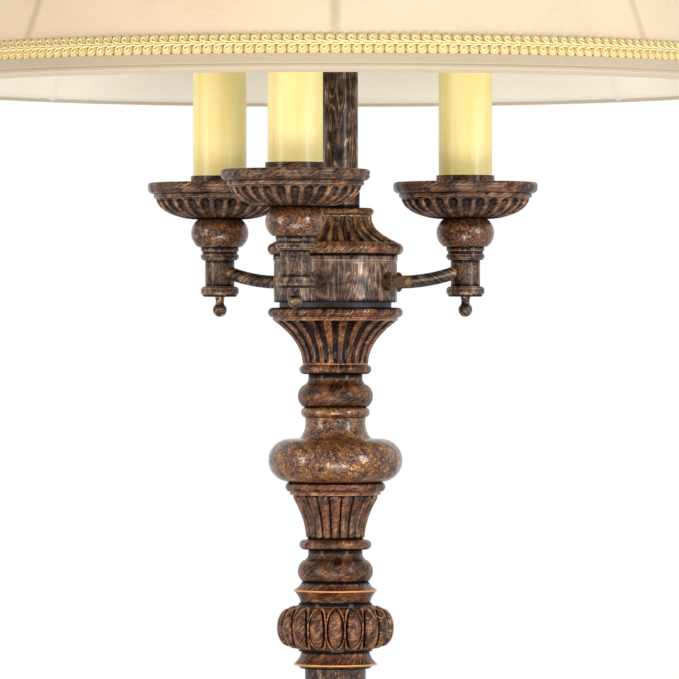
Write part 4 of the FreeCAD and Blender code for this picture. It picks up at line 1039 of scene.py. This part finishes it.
@dataclass
class Candle:
    """One candle arm's casting, drip cup, sleeve and bulb."""

    arm: str
    cup_r: float = 40.8
    cup_h: float = 20.8
    ridges: int = 28

    def cup(self) -> Turning:
        """Fluted bowl under a thin fillet and a broad rounded rim, dished on top."""
        shape = Outline().to(5.2, 0).to(12.4, 0)
        start = length_of(shape.points)

        def bowl(t: float) -> tuple[float, float]:
            angle = math.pi / 2 * t
            return 12.4 + 23.8 * math.sin(angle) ** 1.08, 11.8 * (1 - math.cos(angle))

        shape.curve(bowl, 44)
        end = length_of(shape.points)
        shape.to(37.3, 11.9).arc(37.5, 14.3, 0.35, 6).to(38.2, 14.5).arc(self.cup_r, 18.2, 1.1, 10)
        shape.arc(self.cup_r - 1.6, self.cup_h, 0.9, 8).to(37.2, self.cup_h).arc(31.5, 12.6, -1.4, 12).to(5.2, 12.6)
        carving = Flutes(self.ridges, depth=0.4, land=0.16, arch_low=0.5, arch_high=0.7, lip=0.16)
        return Turning("cup_" + self.arm, shape, Bronzes.CUPS.value, columns=self.ridges * 12, soft=0.25,
                       carving=carving, span=(start + 0.4, end - 0.3), seated=(True, False))

    def casting(self) -> Turning:
        """Barrel between stepped rings."""
        wide, step, groove, slim = 10.8, 0.83, 9.97, 8.3
        shape = Outline().to(5.2, 0).to(wide - 2 * step, 0).to(groove, step).to(groove, 2 * step).to(wide, 2 * step)
        shape.to(wide, 5.0, 3).to(groove, 5.0).to(groove, 5.8).to(slim, 5.8).to(slim, 20.8, 8).to(groove, 20.8)
        shape.to(groove, 21.7).to(wide, 21.7).to(wide, 24.1, 3).to(groove, 24.1).to(groove, 25.8).to(wide, 25.8)
        return Turning("casting_" + self.arm, shape.to(wide, 28.3, 3).to(5.2, 28.3), Bronzes.CAST.value, columns=96,
                       soft=0.22)

    def bulb(self) -> None:
        """Frosted flame bulb on a threaded cap. Its bottom contact is the CAD node's lowest point."""
        centre, low, body = candle_axis(self.arm), low_of("bulb_" + self.arm), "bulb_" + self.arm
        glass = Outline().to(0, 22).to(12.6, 22).to(13.0, 30).arc(17.5, 59.3, 1.5, 18).arc(1.0, 108.0, 4.4, 30)
        Turning("bulb_" + self.arm, glass.to(0, 108.0), FROSTED, Slot.GLASS, 64, 0.6, body, lift=low,
                name=f"bulb_{self.arm}_glass").build(centre)
        cap = Outline().to(0, 0).to(4.0, 0).to(4.6, 0.6).to(12.0, 4.5)
        for i in range(5):
            cap.arc(12.0, 4.5 + 3.6 * (i + 1), 0.95, 8)
        cap.to(12.9, 22.6).to(12.9, 23.6).to(0, 23.6)
        Turning("bulb_" + self.arm, cap, STEEL, Slot.STEEL, 64, 0.1, body, lift=low, name=f"bulb_{self.arm}_cap",
                replaced=False).build(centre)

    def build(self) -> None:
        """Makes the candle's own pieces and dresses its sleeve."""
        centre = candle_axis(self.arm)
        self.cup().build(centre)
        self.casting().build(centre)
        self.bulb()
        dress(["sleeve_" + self.arm], WAX, centre)
        dress(["arm_" + self.arm], Bronzes.CAST.value)


@dataclass
class Trio:
    """Pieces that come three at a time: beads, tips, rings and sockets."""

    bead_r: float = 16.4
    bead_h: float = 15.9

    def join(self, parts: list[Turning], name: str, finish: Finish, node: str) -> None:
        """Makes one piece of a turning repeated at the three candles.

        Args:
            parts: The turnings, each on the Z axis with its foot at zero.
            name: Name of the piece.
            finish: Its finish.
            node: CAD node that it stands for, which gives its height.
        """
        whole = bmesh.new()
        for part in parts:
            for arm in CANDLES:
                one = part.mesh()
                place = Vector((*candle_axis(arm), low_of(node) + low_of("cup_" + arm) - low_of("cup_left"))) * MM
                bmesh.ops.translate(one, verts=one.verts[:], vec=place)
                held = bpy.data.meshes.new("held")
                one.to_mesh(held)
                one.free()
                whole.from_mesh(held)
                bpy.data.meshes.remove(held)
        filed(whole, name, "root", [finish.material()], [node])

    def build(self) -> None:
        """Makes the beads and the tips, and dresses the rest."""
        bead = Outline().to(5.2, 0).to(12.3, 0).arc(12.3, self.bead_h, 4.08, 28).to(5.2, self.bead_h)
        self.join([Turning("stone_beads", bead, BEAD, soft=0.4)], "stone_beads_turned", BEAD,
                  "stone_beads")
        tip = Outline().to(0, 0).arc(3.9, 3.9, 1.14, 10).arc(2.6, 6.8, 0.42, 8).arc(2.9, 11.4, -0.4, 8)
        tip.to(2.0, 11.4).to(2.0, 15.4).to(0, 15.4)
        self.join([Turning("casting_tips", tip, Bronzes.CAST.value, columns=48, soft=0.15)], "casting_tips_turned",
                  Bronzes.CAST.value, "casting_tips")
        dress(["candle_rings"], Bronzes.RIMS.value)
        dress(["arm_collars"], Bronzes.CAST.value)
        dress(["sockets"], PORCELAIN)


# ---------------------------------------------------------------- shade
@dataclass
class Shade:
    """Panelled bell shade: cover with seams, lining, folded hems, cord braid, wire frame and spider."""

    height: float = 330.0
    bottom_r: float = 241.3
    top_r: float = 114.3
    sag: float = 5.0
    panels: int = 8
    columns_each: int = 48
    hollow: float = 2.0
    hem_h: float = 7.8
    braid_h: float = 10.4
    pitch: float = 5.65
    cord_r: float = 0.45

    def __post_init__(self) -> None:
        """Works out the arc of the side and the shade's place."""
        lean = self.bottom_r - self.top_r
        chord = math.hypot(lean, self.height)
        self.bend = (chord**2 / 4 + self.sag**2) / (2 * self.sag)
        away = self.bend - self.sag
        self.centre_r = (self.bottom_r + self.top_r) / 2 + away * self.height / chord
        self.centre_z = self.height / 2 + away * lean / chord
        self.low = low_of("shade_cover")

    def radius(self, h: float) -> float:
        """Outer radius at a height above the lower edge."""
        return self.centre_r - math.sqrt(self.bend**2 - (h - self.centre_z) ** 2)

    def normal(self, h: float) -> tuple[float, float]:
        """Outward direction of the side at a height, as radius and height."""
        step = 0.5
        slope = (self.radius(h + step) - self.radius(h - step)) / (2 * step)
        size = math.hypot(1.0, slope)
        return 1.0 / size, -slope / size

    def on_side(self, h: float, out: float) -> tuple[float, float]:
        """Radius and height of a point that stands out from the side."""
        nr, nz = self.normal(h)
        return self.radius(h) + out * nr, h + out * nz

    def add_weave(self, bm: bmesh.types.BMesh) -> None:
        """Gives a turned cloth a UV map in millimetres round and up."""
        layer = bm.loops.layers.uv.new("weave")
        for face in bm.faces:
            middle = face.calc_center_median()
            base = math.atan2(middle.x, -middle.y)
            for loop in face.loops:
                co = loop.vert.co
                angle = math.atan2(co.x, -co.y)
                angle += 2 * math.pi * round((base - angle) / (2 * math.pi))
                loop[layer].uv = (angle * math.hypot(co.x, co.y) / MM, co.z / MM)

    def sheet_mesh(self, h0: float, h1: float, out: float, hollow: float, seam: float) -> bmesh.types.BMesh:
        """One cloth of the shade: turned from the side's arc, hollowed between its ribs and raised at its seams.

        Args:
            h0: Height of its lower edge.
            h1: Height of its upper edge.
            out: How far it stands out from the side.
            hollow: How far a panel's middle is drawn in.
            seam: Height of the seam's ridge.

        Returns:
            The mesh.
        """
        rows = 56
        points = [self.on_side(h0 + (h1 - h0) * i / rows, out) for i in range(rows + 1)]
        bm = turned(points, self.panels * self.columns_each, False)
        mark = bm.verts.layers.float.new("relief")
        sector = 2 * math.pi / self.panels
        for vertex in bm.verts:
            co = vertex.co
            angle, radius, h = math.atan2(co.x, -co.y), math.hypot(co.x, co.y) / MM, co.z / MM
            share = angle / sector - math.floor(angle / sector)
            share -= 0.8 * math.sin(2 * math.pi * share) / (2 * math.pi)
            angle = (math.floor(angle / sector) + share) * sector
            off = min(share, 1 - share) * sector * radius
            pull = hollow * math.sin(math.pi * min(1.0, max(0.0, h / self.height))) ** 0.7
            pull *= min(1.0, (4 * share * (1 - share)) ** 0.6)
            band = math.exp(-((off / 2.9) ** 4))
            # Painted shade along each seam: the relief attribute falls to -0.7 in the seam's band.
            vertex[mark] = -0.7 * band
            radius += seam * band - pull
            vertex.co = Vector((radius * math.sin(angle), -radius * math.cos(angle), h)) * MM
        bmesh.ops.translate(bm, verts=bm.verts[:], vec=(0, 0, self.low * MM))
        bmesh.ops.recalc_face_normals(bm, faces=bm.faces[:])
        self.add_weave(bm)
        return bm

    def thicken(self, piece: bpy.types.Object, wall: float) -> None:
        """Gives a cloth its thickness, inwards."""
        modifier = piece.modifiers.new("wall", "SOLIDIFY")
        modifier.thickness, modifier.offset = wall * MM, -1.0

    def hem(self) -> bpy.types.Object:
        """Folded hem bands at both edges, each with a stitched line."""
        whole = bmesh.new()
        for low in (True, False):
            def at(h: float, out: float) -> tuple[float, float]:
                return self.on_side(h if low else self.height - h, out)

            inside = -4.9
            rim = Outline([at(self.hem_h, 0.15)]).to(*at(self.hem_h, 0.75))
            for h in (self.hem_h - 0.8, 5.4, 4.0, 2.8, 2.4):
                rim.to(*at(h, 0.85 if h > 2.6 else 0.8), 2)
            rim.to(*at(2.2, 0.5)).to(*at(1.95, 0.75)).to(*at(1.2, 0.85)).to(*at(0.5, 0.85)).to(*at(0.0, 0.75))
            rim.to(*at(-0.3, 0.35)).to(*at(-0.4, -0.3)).to(*at(-0.4, -1.5)).to(*at(-0.4, -3.5))
            rim.to(*at(-0.3, -4.4)).to(*at(0.3, inside)).to(*at(1.6, inside))
            rim.to(*at(1.7, inside + 0.5)).to(*at(0.6, -4.2)).to(*at(0.1, -3.6)).to(*at(0.1, -1.2))
            rim.to(*at(0.6, 0.15))
            one = turned(rim.points, self.panels * self.columns_each)
            held = bpy.data.meshes.new("held")
            one.to_mesh(held)
            one.free()
            whole.from_mesh(held)
            bpy.data.meshes.remove(held)
        bmesh.ops.translate(whole, verts=whole.verts[:], vec=(0, 0, self.low * MM))
        bmesh.ops.recalc_face_normals(whole, faces=whole.faces[:])
        self.add_weave(whole)
        return filed(whole, "shade_hem_folded", "shade", [HEM.material()], ["shade_hem"], 60)

    def curl(self, mirror: bool) -> bmesh.types.BMesh:
        """One curled cord of the braid: a long tail that runs along the middle and curls round on its tab.

        Args:
            mirror: True for the upper row.

        Returns:
            The cord, in millimetres: across the band is Y from its middle line, and out from the shade is Z.
        """
        way = [(7.0, -0.3, 0.9), (4.6, -0.4, 1.15), (2.4, -0.6, 1.35), (0.5, -0.9, 1.5), (-1.2, -1.45, 1.5),
               (-1.8, -2.6, 1.45), (-0.9, -3.6, 1.4), (0.5, -3.4, 1.35), (0.8, -2.4, 1.3)]
        curve = bpy.data.curves.new("curl", "CURVE")
        curve.dimensions, curve.bevel_depth, curve.bevel_resolution, curve.resolution_u = "3D", self.cord_r, 0, 2
        curve.use_fill_caps = True
        spline = curve.splines.new("NURBS")
        spline.points.add(len(way) - 1)
        for point, (x, y, z) in zip(spline.points, way):
            point.co = (x, -y if mirror else y, z, 1.0)
        spline.order_u, spline.use_endpoint_u = 3, True
        holder = bpy.data.objects.new("curl", curve)
        mesh = bpy.data.meshes.new_from_object(holder)
        bm = bmesh.new()
        bm.from_mesh(mesh)
        bpy.data.objects.remove(holder)
        bpy.data.curves.remove(curve)
        bpy.data.meshes.remove(mesh)
        return bm

    def tab(self, mirror: bool) -> bmesh.types.BMesh:
        """One thread-wrapped tab of the braid: a flat round cushion, in the same frame as a curl."""
        bm = bmesh.new()
        rings = [(0.15, 0.05), (1.0, 0.1), (0.97, 0.65), (0.72, 0.9), (0.3, 0.95)]

        def squared(value: float) -> float:
            return math.copysign(abs(value) ** 0.65, value)

        for share, z in rings:
            corners = [bm.verts.new((2.85 * share * squared(math.cos(turn)), 2.8 * share * squared(math.sin(turn)), z))
                       for turn in (2 * math.pi * (i + 0.5) / 12 for i in range(12))]
            if share == rings[0][0]:
                first = last = bm.faces.new(corners[::-1]).verts[:][::-1]
            else:
                for i in range(12):
                    bm.faces.new((last[i - 1], last[i], corners[i], corners[i - 1]))
                last = corners
        bm.faces.new(last)
        bmesh.ops.translate(bm, vec=(0.0, 2.7 if mirror else -2.7, 0.0), verts=bm.verts[:])
        return bm

    def braid_row(self, name: str, maker: Callable[[bool], bmesh.types.BMesh]) -> bpy.types.Object:
        """Repeats one shape round both edges of the shade, in an upper and a lower row.

        Args:
            name: Name of the piece.
            maker: Makes one repeat, given whether it is mirrored.

        Returns:
            The piece.
        """
        whole, heights = bmesh.new(), []
        for mirror in (False, True):
            bm, held = maker(mirror), bpy.data.meshes.new("held")
            bm.to_mesh(held)
            bm.free()
            unit = np.empty(len(held.vertices) * 3)
            held.vertices.foreach_get("co", unit)
            x, y, z = unit.reshape(-1, 3).T
            for middle in (self.hem_h + self.braid_h / 2, self.height - self.hem_h - self.braid_h / 2):
                girth = self.radius(middle) + 1.0
                count = round(2 * math.pi * girth / self.pitch)
                place = np.array([self.on_side(middle + up, out + 0.15) for up, out in zip(y, z)])
                for i in range(count):
                    angle = (i + (0.5 if mirror else 0.0)) * 2 * math.pi / count + x / girth
                    spot = np.stack([place[:, 0] * np.sin(angle), -place[:, 0] * np.cos(angle), place[:, 1] + self.low])
                    held.vertices.foreach_set("co", (spot.T * MM).ravel())
                    whole.from_mesh(held)
                    # The height kept as relief gives the cords painted shade low down and a painted highlight on top.
                    heights.append(np.clip((z + 0.1) / 1.8, 0.0, 1.0))
            bpy.data.meshes.remove(held)
        piece = filed(whole, name, "shade", [CORD.material()], relief=False, sharp=75)
        attribute = piece.data.attributes.new("relief", "FLOAT", "POINT")
        attribute.data.foreach_set("value", np.concatenate(heights).astype(np.float32))
        return piece

    def ribbon(self) -> bpy.types.Object:
        """Ribbon that the cords of the braid are worked on."""
        whole = bmesh.new()
        for low in (self.hem_h, self.height - self.hem_h - self.braid_h):
            bottom, top = low + 0.5, low + self.braid_h - 0.5
            rim = Outline([self.on_side(bottom, 0.15)]).to(*self.on_side(bottom, 0.5)).to(*self.on_side(top, 0.5), 4)
            rim.to(*self.on_side(top, 0.15))
            one = turned(rim.points, self.panels * self.columns_each)
            held = bpy.data.meshes.new("held")
            one.to_mesh(held)
            one.free()
            whole.from_mesh(held)
            bpy.data.meshes.remove(held)
        bmesh.ops.translate(whole, verts=whole.verts[:], vec=(0, 0, self.low * MM))
        return filed(whole, "braid_ribbon", "shade", [CORD.material()], ["shade_braid"], relief=False)

    def build(self) -> None:
        """Makes the cloths and the braid, and dresses the frame."""
        hem, ribbon = self.hem(), self.ribbon()
        curls, tabs = self.braid_row("braid_curls", self.curl), self.braid_row("braid_tabs", self.tab)
        cover = filed(self.sheet_mesh(0.4, self.height - 0.4, 0.0, self.hollow, 0.4), "shade_cover_sewn",
                      "shade", [COVER.material()], ["shade_cover"], 60, relief=False)
        self.thicken(cover, 0.5)
        lining = filed(self.sheet_mesh(0.9, self.height - 3.0, -4.3, self.hollow * 0.6, -0.3), "shade_lining_sewn",
                       "shade", [LINING.material()], ["shade_lining"], 60, relief=False)
        self.thicken(lining, 0.4)
        dress(["shade_frame", "shade_spider"], BRASS)


# ---------------------------------------------------------------- stage
@dataclass
class Studio:
    """Pale floor, soft lights, white background and the photograph's camera."""

    focal_px: float = 5945.0
    frame_px: float = 679.0
    distance: float = 3.34
    eye: float = 1.0835
    axis_px: tuple[float, float] = (335.4, 335.0)
    ambient: float = 0.42

    def camera(self) -> None:
        """Level camera at the drum's height, far off, with a small shift to frame the lamp's head."""
        data = bpy.data.cameras.new("camera")
        data.sensor_width = 36.0
        data.lens = self.focal_px / self.frame_px * data.sensor_width
        data.shift_x = (self.frame_px / 2 - self.axis_px[0]) / self.frame_px
        data.shift_y = (self.axis_px[1] - self.frame_px / 2) / self.frame_px
        data.clip_start, data.clip_end = 0.1, 100.0
        camera = bpy.data.objects.new("camera", data)
        camera.location = (0, -self.distance, self.eye)
        camera.rotation_euler = (math.radians(90), 0, 0)
        bpy.context.scene.collection.objects.link(camera)
        bpy.context.scene.camera = camera

    def light(self, name: str, place: tuple[float, float, float], size: tuple[float, float], power: float,
              tint: tuple[float, float, float] = (1.0, 1.0, 1.0)) -> None:
        """Soft box that faces the lamp's head."""
        data = bpy.data.lights.new(name, "AREA")
        data.shape, data.size, data.size_y, data.energy = "RECTANGLE", size[0], size[1], power
        data.color = tint
        lamp = bpy.data.objects.new(name, data)
        lamp.location = place
        lamp.rotation_euler = (Vector((0, 0, 1.15)) - Vector(place)).to_track_quat("-Z", "Y").to_euler()
        lamp.visible_camera = False
        bpy.context.scene.collection.objects.link(lamp)

    def world(self) -> None:
        """Background that is white to the eye and in reflections, and a soft fill otherwise."""
        world = bpy.data.worlds.new("studio")
        world.use_nodes = True
        tree = world.node_tree
        back = tree.nodes["Background"]
        back.inputs["Color"].default_value = (1, 1, 1, 1)
        rays = tree.nodes.new("ShaderNodeLightPath")
        seen = tree.nodes.new("ShaderNodeMath")
        seen.operation = "MAXIMUM"
        tree.links.new(rays.outputs["Is Camera Ray"], seen.inputs[0])
        tree.links.new(rays.outputs["Is Glossy Ray"], seen.inputs[1])
        clear = tree.nodes.new("ShaderNodeMath")
        clear.operation = "MAXIMUM"
        tree.links.new(seen.outputs[0], clear.inputs[0])
        tree.links.new(rays.outputs["Is Transmission Ray"], clear.inputs[1])
        strength = tree.nodes.new("ShaderNodeMapRange")
        strength.inputs["To Min"].default_value = self.ambient
        tree.links.new(clear.outputs[0], strength.inputs["Value"])
        tree.links.new(strength.outputs[0], back.inputs["Strength"])
        bpy.context.scene.world = world

    def floor(self) -> None:
        """Pale disc that fades into the white background away from the lamp."""
        bm = bmesh.new()
        bmesh.ops.create_circle(bm, cap_ends=True, segments=96, radius=6.0)
        mesh = bpy.data.meshes.new("floor")
        bm.to_mesh(mesh)
        bm.free()
        floor = bpy.data.objects.new("floor", mesh)
        bpy.context.scene.collection.objects.link(floor)
        work = Shading("floor_paper")
        tree = work.tree
        distance = work.node("VectorMath", {0: work.node("TexCoord").outputs["Object"]}, operation="LENGTH").outputs[1]
        away = work.range(distance, 0.8, 5.0, 0.0, 1.0)
        white = work.node("Emission", {"Color": (1, 1, 1, 1), "Strength": 1.0}).outputs[0]
        work.set(Base_Color=(0.86, 0.86, 0.86, 1), Roughness=0.9)
        joined = work.node("MixShader", {0: away, 1: work.shader.outputs[0], 2: white}).outputs[0]
        tree.links.new(joined, tree.nodes["Material Output"].inputs[0])
        mesh.materials.append(work.material)
        floor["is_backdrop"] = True

    def build(self) -> None:
        """Sets up the stage."""
        scene = bpy.context.scene
        scene.view_settings.view_transform = "Standard"
        self.camera()
        self.world()
        self.floor()
        self.light("key", (2.2, -1.8, 1.65), (0.7, 1.5), 35.0)
        self.light("fill", (-2.4, -1.4, 1.3), (0.6, 1.5), 25.0, (1.0, 0.92, 0.84))
        self.light("low", (0.1, -1.4, 0.35), (1.0, 0.5), 11.5)


def main() -> dict[str, list[list[float]]]:
    """Builds the lamp's looks in order.

    Returns:
        The CAD model's box and the dressed model's box, as lists.
    """
    logging.basicConfig(level=logging.INFO, format="%(name)s: %(message)s")
    boxes = {"cad": [list(corner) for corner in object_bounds()]}
    Studio().build()
    Base().build()
    Column().build()
    Hub().build()
    Switch().build()
    Trio().build()
    for arm in CANDLES:
        Candle(arm).build()
    Shade().build()
    boxes["visual"] = [list(corner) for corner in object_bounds()]
    return boxes


if __name__ == "__main__":
    sizes = main()
